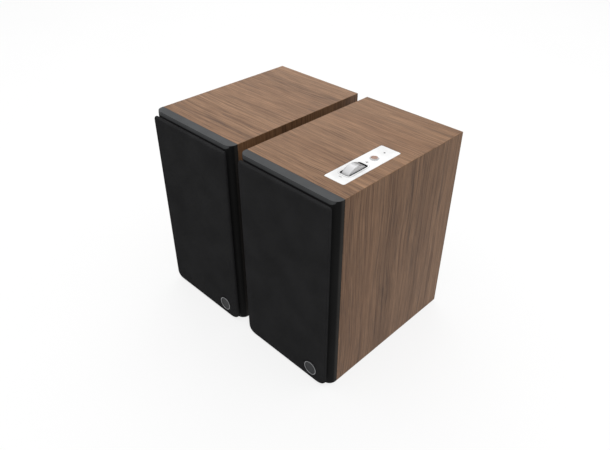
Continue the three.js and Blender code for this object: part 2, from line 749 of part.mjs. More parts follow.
function addPowerSwitch(speaker) {
  const y1 = PANEL_FACE;
  const body = bodyBlock(SWITCH, 0, y1 - 15, y1 + 0.5);
  const flange = standingSlab(18, 26, 1.5, SWITCH.x, SWITCH.z, y1 + SEAM, y1 + 2);
  const wall = 1;
  const well = bodyBlock(SWITCH, -wall, y1 - 9, y1 + 3);
  addPiece(speaker, 'switch_housing', cut(join(body, flange), well), blackSatin);

  const half = 8.2;
  const [below, ends, dip] = [-3, 3.4, 2];
  const across = 10.4;
  const outline = new THREE.Shape();
  outline.moveTo(-half, below);
  outline.lineTo(half, below);
  outline.lineTo(half, ends);
  outline.lineTo(0, dip);
  outline.lineTo(-half, ends);
  const rocker = new THREE.ExtrudeGeometry(outline, { depth: across, bevelEnabled: false });
  rocker.translate(0, 0, -across / 2).rotateY(Math.PI / 2).rotateX(Math.PI / 2);
  rocker.rotateX(ROCKER_TILT);
  const piece = addPiece(speaker, 'power_switch', toGeometry(toManifold(rocker)), capBlack);
  piece.position.set(SWITCH.x, y1, SWITCH.z);
}

// The amplifier board with its heat sink, and the transformer and reservoir on the cabinet's floor.
function addAmpBoards(speaker) {
  const boardY = REAR_FACE - 34;
  const board = block(-52, 52, boardY - BOARD, boardY, 74, 196);
  const heatSink = block(-40, 40, boardY - 16, boardY - 1, 96, 130);
  const [slots, pitch, slotWidth] = [7, 12, 7];
  const cuts = [];
  for (let slot = 0; slot < slots; slot += 1) {
    const x = (slot - (slots - 1) / 2) * pitch;
    cuts.push(block(x - slotWidth / 2, x + slotWidth / 2, boardY - 17, boardY - 6, 95, 131));
  }
  addPiece(speaker, 'amp_board', join(board, cut(heatSink, ...cuts)), boardGreen);

  const base = block(-55, 20, REAR_FACE - 78, REAR_FACE - 22, 14, 14 + BOARD);
  const core = block(-50, -4, REAR_FACE - 72, REAR_FACE - 34, 15, 50);
  const windings = block(-42, -12, REAR_FACE - 76, REAR_FACE - 30, 20, 45);
  const reservoir = upright(11, 15, 46, 8, REAR_FACE - 40, COARSE);
  addPiece(speaker, 'power_supply', join(base, core, windings, reservoir), steel);
}

// ---------------------------------------------------------------- loudspeaker terminals

const STUD_RADIUS = 2.2;

function terminalStuds(x, z, y0) {
  const half = POST_SPACING / 2;
  return [x - half, x + half].map((place) => disc(STUD_RADIUS, y0 - 2, y0 + 10, place, z, COARSE));
}

// The two thumb nuts of a pair of posts: red on the left, black on the right.
function addCaps(speaker, side, x, z, y0) {
  const bore = STUD_RADIUS + FIT;
  const profile = [
    [bore, y0],
    [CAP_RADIUS - 0.6, y0],
    [CAP_RADIUS, y0 + 0.8],
    [CAP_RADIUS, y0 + CAP_LENGTH - 1.2],
    [CAP_RADIUS - 1.2, y0 + CAP_LENGTH],
    [bore, y0 + CAP_LENGTH],
  ];
  const colours = { red: [-1, capRed], black: [1, capBlack] };
  for (const [name, [direction, material]] of Object.entries(colours)) {
    const cap = turn(profile, x + (direction * POST_SPACING) / 2, z, COARSE);
    addPiece(speaker, `${side}_post_cap_${name}`, cap, material);
  }
}

function addRightTerminals(speaker) {
  const body = bodyBlock(POSTS, 0, PANEL_FACE - 12, PANEL_FACE + 0.5);
  const seat = PANEL_FACE + FLANGE_THICKNESS;
  const flange = standingSlab(44, 22, 4, POSTS.x, POSTS.z, PANEL_FACE + SEAM, seat);
  const studs = terminalStuds(POSTS.x, POSTS.z, seat);
  addPiece(speaker, 'right_post_base', join(body, flange, ...studs), blackSatin);
  addCaps(speaker, 'right', POSTS.x, POSTS.z, seat + SEAM);
}

function addLeftTerminals(speaker) {
  const face = REAR_FACE + SEAM;
  const floor = face - CUP_DEPTH;
  const flange = standingSlab(82, 68, 6, 0, CUP_Z, face, face + 2);
  const wall = 2.6;
  const cup = { x: 0, z: CUP_Z, halfWidth: CUP_HALF_WIDTH, halfHeight: CUP_HALF_HEIGHT };
  const tub = bodyBlock(cup, 0, floor - 2, face + 1);
  const hollow = bodyBlock(cup, -wall, floor, face + 3);
  const studs = terminalStuds(0, CUP_Z, floor);
  addPiece(speaker, 'left_terminal_cup', join(cut(join(flange, tub), hollow), ...studs), blackSatin);
  addCaps(speaker, 'left', 0, CUP_Z, floor + SEAM);
}

// The passive speaker's filter board, on the cabinet's floor.
function addCrossover(speaker) {
  const floor = WALL + 1;
  const board = block(-45, 45, 130, 200, floor, floor + BOARD);
  const coils = [
    upright(16, floor + 1, floor + 18, -24, 150, COARSE),
    upright(12, floor + 1, floor + 14, 26, 180, COARSE),
  ];
  const capacitors = [148, 164].map((y) => crossRod(6, 4, 38, y, floor + 7, 12));
  addPiece(speaker, 'crossover_board', join(board, ...coils, ...capacitors), boardGreen);
}

// ---------------------------------------------------------------- assembly

function buildSpeaker(side) {
  const speaker = new THREE.Group();
  addCabinet(speaker, side);
  addBaffle(speaker, side);
  addRearPanel(speaker, side);
  addPort(speaker, side);
  addFeet(speaker, side);
  addGrille(speaker, side);
  addTweeter(speaker, side);
  addWooferBasket(speaker, side);
  addSurround(speaker, side);
  addCone(speaker, side);
  addSpider(speaker, side);
  addWooferMotor(speaker, side);
  const offset = (WIDTH + SPEAKER_GAP) / 2;
  speaker.position.set(side === 'right' ? offset : -offset, FRONT_EDGE_Y, FOOT_HEIGHT);
  return speaker;
}

const rightSpeaker = buildSpeaker('right');
addControlPlate(rightSpeaker);
addControlHousing(rightSpeaker);
addControlBoard(rightSpeaker);
addVolumeWheel(rightSpeaker);
addSourceButton(rightSpeaker);
addStatusLens(rightSpeaker);
addAmpPanel(rightSpeaker);
addAmpBoards(rightSpeaker);
addMainsInlet(rightSpeaker);
addPowerSwitch(rightSpeaker);
addRcaJacks(rightSpeaker);
addDigitalPorts(rightSpeaker);
addRightTerminals(rightSpeaker);

const leftSpeaker = buildSpeaker('left');
addLeftTerminals(leftSpeaker);
addCrossover(leftSpeaker);

const speakers = new THREE.Group();
speakers.add(rightSpeaker, leftSpeaker);

export default speakers;
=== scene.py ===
import math

import bmesh
import bpy
from mathutils import Matrix, Vector


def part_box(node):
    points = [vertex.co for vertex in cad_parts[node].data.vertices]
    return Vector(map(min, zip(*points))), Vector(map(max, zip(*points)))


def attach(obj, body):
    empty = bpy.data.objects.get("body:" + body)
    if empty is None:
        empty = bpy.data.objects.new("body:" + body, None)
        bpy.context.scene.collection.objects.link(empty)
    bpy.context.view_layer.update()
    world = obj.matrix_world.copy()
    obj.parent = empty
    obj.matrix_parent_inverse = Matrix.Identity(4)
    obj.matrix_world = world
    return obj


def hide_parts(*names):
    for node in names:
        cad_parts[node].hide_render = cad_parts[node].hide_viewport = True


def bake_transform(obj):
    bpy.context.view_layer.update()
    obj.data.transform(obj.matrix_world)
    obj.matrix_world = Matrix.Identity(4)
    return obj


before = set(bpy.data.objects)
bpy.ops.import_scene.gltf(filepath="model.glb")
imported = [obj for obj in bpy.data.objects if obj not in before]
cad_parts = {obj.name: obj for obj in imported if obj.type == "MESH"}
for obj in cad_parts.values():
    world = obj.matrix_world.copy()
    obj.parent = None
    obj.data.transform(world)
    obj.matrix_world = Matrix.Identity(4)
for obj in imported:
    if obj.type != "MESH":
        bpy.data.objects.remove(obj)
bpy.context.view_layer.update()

MM = 0.001
ROUND = 96                # sides of a large round piece
SMALL_ROUND = 40
SMOOTH_ANGLE = 32         # degrees: sharper edges than this stay sharp

SEAM = 0.2                # between two faces that are glued or screwed together
FIT = 0.3                 # round a piece that sits in a hole
WALL = 12.0               # the cabinet's boards
WOOFER_RADIUS = 73.0      # the basket's flange
TWEETER_RADIUS = 52.0     # the faceplate
PEGS = [(x, z) for x in (-72, 72) for z in (44, 272)]   # from the middle and the underside
POST_REACH = 9.5          # from the middle of a pair of terminals to each post
CLOTH_CORNERS = (5.4, 10.0)   # the grille's upper and lower corners, seen from the front
CLOTH_GAP = 0.8           # from the grille's board out to the cloth


# ---------------------------------------------------------------- places

class Place:
    """A CAD node's box at rest, in millimetres."""

    def __init__(self, node):
        low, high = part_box(node)
        self.low = low / MM
        self.high = high / MM
        self.middle = (self.low + self.high) / 2
        self.size = self.high - self.low


# ---------------------------------------------------------------- node materials

class Graph:
    """A procedural material. Each call adds a node and gives back one of its outputs."""

    def __init__(self, name):
        self.material = bpy.data.materials.new(name)
        self.material.use_nodes = True
        self.tree = self.material.node_tree
        self.shader = self.tree.nodes["Principled BSDF"]

    def feed(self, socket, value):
        if isinstance(value, bpy.types.NodeSocket):
            self.tree.links.new(value, socket)
        else:
            socket.default_value = value

    def add(self, kind, inputs, output=0, **settings):
        node = self.tree.nodes.new("ShaderNode" + kind)
        for key, value in settings.items():
            setattr(node, key, value)
        for key, value in inputs.items():
            self.feed(node.inputs[key], value)
        return node.outputs[output]

    def math(self, operation, first, second=0.0, third=0.0):
        return self.add("Math", {0: first, 1: second, 2: third}, operation=operation)

    def times(self, first, second):
        return self.math("MULTIPLY", first, second)

    def plus(self, first, second):
        return self.math("ADD", first, second)

    def magnitude(self, value):
        return self.math("ABSOLUTE", value)

    def vary(self, value, noise, weight):
        """A value moved up or down by a noise that is 0.5 on average."""
        return self.math("MULTIPLY_ADD", self.math("SUBTRACT", noise, 0.5), weight, value)

    def split(self, vector):
        node = self.tree.nodes.new("ShaderNodeSeparateXYZ")
        self.feed(node.inputs[0], vector)
        return node.outputs

    def combine(self, x, y, z):
        return self.add("CombineXYZ", {0: x, 1: y, 2: z})

    def coordinates(self, output="Object"):
        return self.add("TexCoord", {}, output)

    def scaled(self, vector, scale):
        return self.add("VectorMath", {0: vector, 1: scale}, operation="MULTIPLY")

    def noise(self, vector, scale, detail=2.0, roughness=0.5):
        inputs = {"Vector": vector, "Scale": scale, "Detail": detail, "Roughness": roughness}
        return self.add("TexNoise", inputs)

    def span(self, value, low, high, to_low=0.0, to_high=1.0):
        inputs = {0: value, 1: low, 2: high, 3: to_low, 4: to_high}
        return self.add("MapRange", inputs, interpolation_type="SMOOTHSTEP")

    def pick(self, factor, first, second):
        """A number between first and second."""
        return self.add("Mix", {0: factor, 2: first, 3: second}, data_type="FLOAT")

    def tint(self, factor, first, second, blend="MIX"):
        """A colour between first and second."""
        first, second = (
            c if isinstance(c, bpy.types.NodeSocket) else (*c, 1.0) for c in (first, second)
        )
        inputs = {0: factor, 6: first, 7: second}
        return self.add("Mix", inputs, 2, data_type="RGBA", blend_type=blend)

    def bump(self, height, depth_mm, strength=1.0):
        inputs = {"Height": height, "Distance": depth_mm * MM, "Strength": strength}
        self.feed(self.shader.inputs["Normal"], self.add("Bump", inputs))

    def set(self, **values):
        for key, value in values.items():
            if key == "colour" and not isinstance(value, bpy.types.NodeSocket):
                value = (*value, 1.0)
            self.feed(self.shader.inputs[SOCKETS[key]], value)
        return self.material


SOCKETS = {
    "colour": "Base Color",
    "roughness": "Roughness",
    "metallic": "Metallic",
    "specular": "Specular IOR Level",
    "sheen": "Sheen Weight",
    "sheen_roughness": "Sheen Roughness",
}


def scale_colour(colour, factor):
    return tuple(channel * factor for channel in colour)


WALNUT_DARK = (0.104, 0.048, 0.021)
WALNUT_LIGHT = (0.312, 0.171, 0.087)
WALNUT_RED = (0.226, 0.111, 0.053)
WALNUT_VEIN = (0.045, 0.021, 0.0095)


def walnut(name, seed):
    """Open-grained walnut: along X on the horizontal faces and upright on the sides."""
    g = Graph(name)
    point = g.split(g.coordinates())
    normal = g.split(g.coordinates("Normal"))
    level = g.math("GREATER_THAN", g.magnitude(normal[2]), 0.7)
    endwise = g.math("GREATER_THAN", g.magnitude(normal[1]), 0.7)
    along = g.pick(g.math("MAXIMUM", level, endwise), point[2], point[0])
    across = g.pick(endwise, point[1], point[2])
    facing = g.math("MULTIPLY_ADD", normal[0], 1.2, g.times(normal[2], 3.4))
    leaf = g.math("ROUND", facing)
    leaf = g.plus(g.times(leaf, 7.3), seed)

    def grain(across_value, along_scale, across_scale, detail, shift=0.0, roughness=0.5):
        vector = g.combine(
            g.times(along, along_scale),
            g.times(across_value, across_scale),
            g.plus(leaf, shift),
        )
        return g.noise(vector, 1.0, detail, roughness)

    wavy = g.vary(across, grain(across, 3.2, 5.0, 2.0, 11.0), 0.034)
    wavy = g.vary(wavy, grain(across, 16.0, 26.0, 1.0, 23.0), 0.0036)
    band = grain(wavy, 1.4, 26.0, 3.0, 31.0, 0.5)
    streak = grain(wavy, 2.6, 190.0, 4.0, 43.0, 0.6)
    thread = grain(wavy, 7.0, 460.0, 2.0, 51.0, 0.55)
    fibre = grain(wavy, 26.0, 1100.0, 3.0, 57.0, 0.65)
    fleck = grain(wavy, 130.0, 3000.0, 1.0, 61.0)

    def vein(across_scale, shift, width, where):
        """Thin dark lines along the grain, where a noise passes each of two heights."""
        height = grain(wavy, 0.9, across_scale, 1.0, shift)
        lines = [
            g.span(g.magnitude(g.math("SUBTRACT", height, crossing)), 0.0, width, 1.0, 0.0)
            for crossing in where
        ]
        return g.math("MAXIMUM", *lines)

    present = g.span(grain(across, 6.0, 12.0, 1.0, 83.0), 0.32, 0.62, 0.15, 1.0)
    bold = g.times(vein(26.0, 71.0, 0.012, (0.44, 0.56)), present)
    faint = vein(60.0, 75.0, 0.03, (0.42, 0.58))

    value = 0.5
    for part, weight in ((band, 0.38), (streak, 0.34), (thread, 0.72), (fibre, 1.00)):
        value = g.vary(value, part, weight)
    value = g.span(value, 0.10, 0.90)
    colour = g.tint(value, WALNUT_DARK, WALNUT_LIGHT)
    reddish = g.span(grain(wavy, 2.2, 14.0, 2.0, 97.0), 0.45, 0.75, 0.0, 0.3)
    colour = g.tint(reddish, colour, WALNUT_RED)
    colour = g.tint(g.times(faint, 0.18), colour, WALNUT_VEIN)
    colour = g.tint(g.times(bold, 0.5), colour, WALNUT_VEIN)
    dash = g.span(grain(wavy, 19.0, 640.0, 2.0, 67.0, 0.5), 0.55, 0.67, 0.0, 0.60)
    colour = g.tint(g.times(dash, g.span(band, 0.60, 0.42, 0.35, 1.0)), colour, WALNUT_VEIN)
    pore = g.span(fleck, 0.58, 0.72, 0.0, 0.34)
    colour = g.tint(pore, colour, WALNUT_VEIN)
    # Faces that are not level are multiplied by about 0.87: painted shade that darkens the sides and
    # ends against the top.
    painted_upright_shade = g.tint(1.0, colour, (0.87, 0.86, 0.85), "MULTIPLY")
    colour = g.tint(level, painted_upright_shade, colour)
    g.bump(g.math("SUBTRACT", g.times(fibre, 0.5), pore), 0.04, 0.5)
    return g.set(colour=colour, roughness=g.pick(value, 0.58, 0.48), specular=0.25)


def moulded(name, colour, roughness, texture_mm=0.35, depth_mm=0.02, specular=0.5, metallic=0.0):
    """Moulded plastic, paint or rubber: a fine even texture and a little mottling."""
    g = Graph(name)
    point = g.coordinates()
    fine = g.noise(point, 1.0 / (texture_mm * MM), 2.0, 0.6)
    patch = g.noise(point, 22.0, 3.0, 0.55)
    shade = g.tint(g.span(patch, 0.3, 0.7), scale_colour(colour, 0.88), scale_colour(colour, 1.12))
    speck = g.span(fine, 0.55, 0.8, 0.0, 0.25)
    shade = g.tint(speck, shade, scale_colour(colour, 1.5))
    g.bump(fine, depth_mm, 0.7)
    wear = g.span(patch, 0.3, 0.7, roughness - 0.05, roughness + 0.05)
    return g.set(colour=shade, roughness=wear, specular=specular, metallic=metallic)


def lacquer_with_painted_light(name, top, front, edge, side, roughness):
    """Satin black paint with painted light: a painted highlight where it lies level, painted shade
    darkest where an upright edge turns the corner, and a lighter painted tone where it faces straight
    sideways.
    """
    g = Graph(name)
    point = g.coordinates()
    normal = g.split(g.coordinates("Normal"))
    sideways = g.magnitude(normal[0])
    fine = g.noise(point, 1800.0, 2.0, 0.6)
    patch = g.noise(point, 20.0, 3.0, 0.55)
    # Painted light by face direction: painted shade deepening as an upright face turns the corner, a
    # lighter painted tone where it faces straight sideways, and a painted highlight on level faces and
    # on the brow that leans back.
    shade = g.tint(g.span(sideways, 0.2, 0.6), front, edge)
    shade = g.tint(g.span(sideways, 0.93, 1.0), shade, side)
    shade = g.tint(g.span(normal[2], 0.08, 0.18), shade, top)
    shade = g.tint(g.span(patch, 0.3, 0.7, 0.0, 0.16), shade, edge)
    g.bump(fine, 0.012, 0.7)
    wear = g.span(patch, 0.3, 0.7, roughness - 0.05, roughness + 0.05)
    return g.set(colour=shade, roughness=wear, specular=0.05)


def brushed(name, colour, roughness, along="X", streak_mm=0.25, depth_mm=0.006, painted_end_reflection=None):
    """Metal with fine lines along one axis, or round a centre where along is a point and an axis.

    A pale tone can be given for the faces that are square to that axis: a painted reflection, with the
    metal there turned almost to paint."""
    g = Graph(name)
    point = g.coordinates()
    if isinstance(along, str):
        stretch = {"X": (30.0, 1.0, 1.0), "Y": (1.0, 30.0, 1.0), "Z": (1.0, 1.0, 30.0)}[along]
        where = g.scaled(point, tuple(1.0 / (s * streak_mm * MM) for s in stretch))
    else:
        centre, axis = along
        first, second, base = directions(axis)
        back = tuple(-c * MM for c in centre)
        offset = g.split(g.add("VectorMath", {0: point, 1: back}, operation="ADD"))
        u, v = offset[first], offset[second]
        reach = g.math("SQRT", g.plus(g.times(u, u), g.times(v, v)))
        fineness = 1.0 / (streak_mm * MM)
        turn = g.math("ARCTAN2", u, v)
        where = g.combine(g.times(reach, fineness), g.times(offset[base], fineness), turn)
    line = g.noise(where, 1.0, 3.0, 0.6)
    smudge = g.noise(point, 40.0, 2.0)
    shade = g.tint(line, scale_colour(colour, 0.86), scale_colour(colour, 1.1))
    metal = 1.0
    # The end faces get a pale, almost non-metallic colour: a painted reflection standing in for the
    # light the ends would mirror.
    if painted_end_reflection:
        facing = g.magnitude(g.split(g.coordinates("Normal"))[base])
        ends = g.tint(line, scale_colour(painted_end_reflection, 0.9), scale_colour(painted_end_reflection, 1.06))
        shade = g.tint(g.span(facing, 0.8, 0.95), shade, ends)
        metal = g.span(facing, 0.8, 0.95, 1.0, 0.1)
    g.bump(line, depth_mm, 0.6)
    polish = g.vary(g.vary(roughness, line, 0.16), smudge, 0.10)
    return g.set(colour=shade, roughness=polish, metallic=metal)


def woven(name, colour, pitch_mm, depth_mm, contrast=0.5, sheen=0.0, specular=0.12):
    """A plain weave whose threads follow whichever way the cloth faces."""
    g = Graph(name)
    point = g.split(g.coordinates())
    normal = g.split(g.coordinates("Normal"))
    sideways = g.math("GREATER_THAN", g.magnitude(normal[0]), 0.72)
    level = g.math("GREATER_THAN", g.magnitude(normal[2]), 0.72)
    across = g.pick(sideways, point[0], point[1])
    up = g.pick(level, point[2], point[1])
    turns = math.pi / (pitch_mm * MM)
    warp = g.math("SINE", g.times(across, turns))
    weft = g.math("SINE", g.times(up, turns))
    crossing = g.times(warp, weft)
    thread = g.math("POWER", g.magnitude(crossing), 0.6)
    over = g.span(crossing, -0.4, 0.4)
    slub = g.noise(g.combine(g.times(across, 3000.0), g.times(up, 90.0), 0.0), 1.0, 2.0)
    cloud = g.noise(g.coordinates(), 26.0, 2.0)
    light = thread
    for part, weight in ((slub, 0.5), (over, 0.25), (cloud, 0.5)):
        light = g.vary(light, part, weight)
    dark, bright = scale_colour(colour, 1.0 - contrast), scale_colour(colour, 1.0 + contrast)
    shade = g.tint(g.span(light, 0.1, 1.1), dark, bright)
    g.bump(g.plus(thread, g.times(over, 0.5)), depth_mm, 0.8)
    return g.set(colour=shade, roughness=0.9, specular=specular, sheen=sheen, sheen_roughness=0.5)


def leathery(name, colour, roughness, cell_mm=0.9, depth_mm=0.08):
    """Textured vinyl: small raised cells with creases between them."""
    g = Graph(name)
    point = g.coordinates()
    cells = g.add(
        "TexVoronoi", {"Vector": point, "Scale": 1.0 / (cell_mm * MM)},
        feature="DISTANCE_TO_EDGE",
    )
    crease = g.span(cells, 0.0, 0.16)
    fine = g.noise(point, 3000.0, 2.0)
    patch = g.noise(point, 15.0, 3.0)
    # The creases between the cells are painted at 0.6 of the colour: painted shade in the creases.
    shade = g.tint(crease, scale_colour(colour, 0.6), scale_colour(colour, 1.1))
    shade = g.tint(g.span(patch, 0.35, 0.7, 0.0, 0.4), shade, scale_colour(colour, 1.4))
    g.bump(g.math("MULTIPLY_ADD", fine, 0.2, crease), depth_mm, 0.8)
    return g.set(colour=shade, roughness=g.pick(crease, roughness + 0.15, roughness), specular=0.4)


def fibrous(name, colour, roughness, fibre_mm=0.5, depth_mm=0.04):
    """Pressed pulp or wadding: short fibres lying every way."""
    g = Graph(name)
    point = g.coordinates()
    one = g.noise(g.scaled(point, (0.25, 1.0, 1.0)), 1.0 / (fibre_mm * MM), 3.0, 0.7)
    two = g.noise(g.scaled(point, (1.0, 1.0, 0.25)), 1.0 / (fibre_mm * MM), 3.0, 0.7)
    fibre = g.math("MAXIMUM", one, two)
    shade = g.tint(g.span(fibre, 0.45, 0.75), scale_colour(colour, 0.75), scale_colour(colour, 1.35))
    g.bump(fibre, depth_mm, 0.7)
    return g.set(colour=shade, roughness=roughness, specular=0.25)


def printed_board(name, colour, copper):
    """A circuit board: solder mask over straight tracks."""
    g = Graph(name)
    point = g.coordinates()
    cells = g.add(
        "TexVoronoi", {"Vector": point, "Scale": 160.0, "Randomness": 0.7},
        feature="DISTANCE_TO_EDGE", distance="EUCLIDEAN",
    )
    track = g.span(cells, 0.03, 0.07, 1.0, 0.0)
    fine = g.noise(point, 900.0, 2.0)
    shade = g.tint(g.times(track, 0.55), colour, copper)
    shade = g.tint(g.span(fine, 0.4, 0.8, 0.0, 0.25), shade, scale_colour(colour, 1.6))
    g.bump(track, 0.05, 0.7)
    return g.set(colour=shade, roughness=g.pick(track, 0.45, 0.3))


# ---------------------------------------------------------------- forms
# A form is (points, faces) in millimetres in the model's own frame.

def directions(axis):
    """The indices of the two directions across an axis, and of the axis itself."""
    base = "XYZ".index(axis)
    first, second = [i for i in range(3) if i != base]
    return first, second, base


def placed(axis, at, ring, level):
    """Stands a ring of (u, v) points square to an axis, a level along it from a place."""
    order = directions(axis)
    points = []
    for u, v in ring:
        offset = dict(zip(order, (u, v, level)))
        points.append(tuple(at[i] + offset[i] for i in range(3)))
    return points


def circle(radius, sides, lobes=0, depth=0.0):
    """Points round a circle, with lobes ridges of some depth."""
    ring = []
    for i in range(sides):
        angle = 2 * math.pi * i / sides
        reach = radius - depth * (0.5 + 0.5 * math.cos(lobes * angle)) if lobes else radius
        ring.append((reach * math.cos(angle), reach * math.sin(angle)))
    return ring


def polygon(radius, corners, sides):
    """A regular polygon sampled at sides points, to loft with a circle."""
    ring = []
    for i in range(sides):
        angle = 2 * math.pi * i / sides
        half = math.pi / corners
        within = (angle % (2 * half)) - half
        reach = radius * math.cos(half) / math.cos(within)
        ring.append((reach * math.cos(angle), reach * math.sin(angle)))
    return ring


def rounded_rectangle(width, height, radius, steps=8):
    """A closed outline. A pair of radii is for the upper and the lower corners."""
    upper, lower = radius if isinstance(radius, tuple) else (radius, radius)
    ring = []
    for corner, (sx, sy) in enumerate(((1, 1), (-1, 1), (-1, -1), (1, -1))):
        bend = upper if sy > 0 else lower
        for step in range(steps + 1):
            angle = math.pi / 2 * (corner + step / steps)
            ring.append((
                sx * (width / 2 - bend) + bend * math.cos(angle),
                sy * (height / 2 - bend) + bend * math.sin(angle),
            ))
    return ring


def loft(rings, ends=(True, True), closed=False):
    """Skins rings of equally many points. The ends are capped unless the loft is closed."""
    count = len(rings[0])
    points = [point for ring in rings for point in ring]
    faces = []
    spans = len(rings) if closed else len(rings) - 1
    for level in range(spans):
        low, high = level * count, (level + 1) % len(rings) * count
        for i in range(count):
            after = (i + 1) % count
            faces.append((low + i, low + after, high + after, high + i))
    if not closed and ends[0]:
        faces.append(tuple(reversed(range(count))))
    if not closed and ends[1]:
        faces.append(tuple(range((len(rings) - 1) * count, len(rings) * count)))
    return points, faces


def rise(axis, at, outline, levels):
    """Rings of outline(inset) at each (inset, level), round the place at."""
    return [placed(axis, at, outline(inset), level) for inset, level in levels]


def slab(axis, at, width, height, radius, levels, steps=8):
    """A rounded rectangle raised along an axis through (inset, level) pairs."""
    radii = radius if isinstance(radius, tuple) else (radius, radius)

    def outline(inset):
        bends = tuple(max(bend - inset, 0.05) for bend in radii)
        return rounded_rectangle(width - 2 * inset, height - 2 * inset, bends, steps)

    return loft(rise(axis, at, outline, levels))


def lathe(axis, at, profile, sides=ROUND, closed=True):
    """Turns [radius, along] points round an axis. Points on the axis become one vertex."""
    points, rings, faces = [], [], []
    for radius, along in profile:
        turning = circle(radius, sides) if radius > 1e-6 else [(0.0, 0.0)]
        rings.append([len(points) + i for i in range(len(turning))])
        points += placed(axis, at, turning, along)
    pairs = list(zip(rings, rings[1:] + rings[:1]))
    for near, far in pairs if closed else pairs[:-1]:
        if len(near) == 1 and len(far) == 1:
            continue
        for i in range(sides):
            after = (i + 1) % sides
            corners = [
                near[i % len(near)], near[after % len(near)],
                far[after % len(far)], far[i % len(far)],
            ]
            faces.append(tuple(dict.fromkeys(corners)))
    return points, faces


def rod(axis, at, radius, near, far, sides=ROUND):
    return lathe(axis, at, [(0, near), (radius, near), (radius, far), (0, far)], sides)


def tube(axis, at, inner, outer, near, far, sides=SMALL_ROUND):
    return lathe(axis, at, [(inner, near), (outer, near), (outer, far), (inner, far)], sides)


def arc(centre, radii, start, end, steps):
    """Profile points on an ellipse from start to end, in degrees."""
    out = []
    for step in range(steps + 1):
        angle = math.radians(start + (end - start) * step / steps)
        out.append((
            centre[0] + radii[0] * math.cos(angle),
            centre[1] + radii[1] * math.sin(angle),
        ))
    return out


def merged(*forms):
    points, faces = [], []
    for more_points, more_faces in forms:
        base = len(points)
        points += more_points
        faces += [tuple(base + i for i in face) for face in more_faces]
    return points, faces


def swung(form, axis, degrees, about):
    """A form turned about an axis through a point."""
    matrix = Matrix.Rotation(math.radians(degrees), 3, axis)
    centre = Vector(about)
    return [tuple(centre + matrix @ (Vector(p) - centre)) for p in form[0]], form[1]


def box_form(low, high):
    at = [(a + b) / 2 for a, b in zip(low, high)]
    size = [b - a for a, b in zip(low, high)]
    ring = [(-size[0] / 2, -size[1] / 2), (size[0] / 2, -size[1] / 2),
            (size[0] / 2, size[1] / 2), (-size[0] / 2, size[1] / 2)]
    return loft(rise("Z", at, lambda inset: ring, [(0, -size[2] / 2), (0, size[2] / 2)]))


# ---------------------------------------------------------------- meshes and pieces

def to_mesh(name, form):
    points, faces = form
    mesh = bpy.data.meshes.new(name)
    mesh.from_pydata([tuple(c * MM for c in p) for p in points], [], faces)
    bm = bmesh.new()
    bm.from_mesh(mesh)
    bmesh.ops.remove_doubles(bm, verts=bm.verts, dist=1e-7)
    bmesh.ops.recalc_face_normals(bm, faces=bm.faces)
    bm.to_mesh(mesh)
    bm.free()
    return mesh


def add_object(name, mesh):
    thing = bpy.data.objects.new(name, mesh)
    bpy.context.scene.collection.objects.link(thing)
    return thing


def carve(form, *cutters, added=None):
    """The mesh of a form with another joined to it, and then each cutter taken out in turn."""
    body = add_object("carving", to_mesh("carving", form))
    steps = [("UNION", added)] if added else []
    steps += [("DIFFERENCE", cutter) for cutter in cutters]
    for operation, other in steps:
        tool = add_object("tool", to_mesh("tool", other))
        step = body.modifiers.new("carve", "BOOLEAN")
        step.operation, step.solver, step.object = operation, "EXACT", tool
        graph = bpy.context.evaluated_depsgraph_get()
        result = bpy.data.meshes.new_from_object(body.evaluated_get(graph))
        body.modifiers.clear()
        body.data = result
        bpy.data.objects.remove(tool)
    mesh = body.data
    bpy.data.objects.remove(body)
    return mesh


def keep_normals_even(thing):
    even = thing.modifiers.new("even", "WEIGHTED_NORMAL")
    even.keep_sharp = True


def piece(name, shape, material, body, stands_for=None, angle=SMOOTH_ANGLE):
    """Makes a shown piece from a form or a mesh, and says which body it rides on."""
    mesh = shape if isinstance(shape, bpy.types.Mesh) else to_mesh(name, shape)
    mesh.name = name
    mesh.materials.clear()
    mesh.materials.append(material)
    mesh.shade_smooth()
    mesh.set_sharp_from_angle(angle=math.radians(angle))
    thing = add_object(name, mesh)
    keep_normals_even(thing)
    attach(thing, body)
    if stands_for:
        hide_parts(stands_for)
    return thing


def side_piece(side, name, shape, material, node=None, body="speaker", angle=SMOOTH_ANGLE):
    """A piece of one speaker: its name, its body and its node all start with the side."""
    stands_for = f"{side}_{node}" if node else None
    return piece(f"{side}_{name}", shape, material, f"{side}_{body}", stands_for, angle)


def refinish(node, material, bevel_mm=0.4):
    """Gives a CAD node its material, and modifiers that soften its edges."""
    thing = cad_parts[node]
    for slot in thing.material_slots:
        slot.material = material
    weld = thing.modifiers.new("weld", "WELD")
    weld.merge_threshold = 1e-6
    bevel = thing.modifiers.new("bevel", "BEVEL")
    bevel.width = bevel_mm * MM
    bevel.segments = 2
    bevel.limit_method = "ANGLE"
    bevel.angle_limit = math.radians(40)
    bevel.use_clamp_overlap = True
    keep_normals_even(thing)


def screw_form(at, radius, height, axis="Y", facing=-1, sides=24):
    """A socket screw's domed head with a six-sided pocket, standing out of a face."""
    head = [(1, -0.1), (1, height * 0.45), (0.93, height * 0.8), (0.78, height)]
    rings = [placed(axis, at, circle(radius * share, sides), facing * level) for share, level in head]
    for share, level in ((0.5, height), (0.48, height * 0.15)):
        rings.append(placed(axis, at, polygon(radius * share, 6, sides), facing * level))
    return loft(rings)


def screw_circle(at, count, first, reach, radius, height):
    """Screw heads evenly round a driver's axis, the first at an angle in degrees."""
    heads = []
    for i in range(count):
        angle = math.radians(first + 360 / count * i)
        spot = (at[0] + reach * math.cos(angle), at[1], at[2] + reach * math.sin(angle))
        heads.append(screw_form(spot, radius, height))
    return merged(*heads)


# ---------------------------------------------------------------- palette

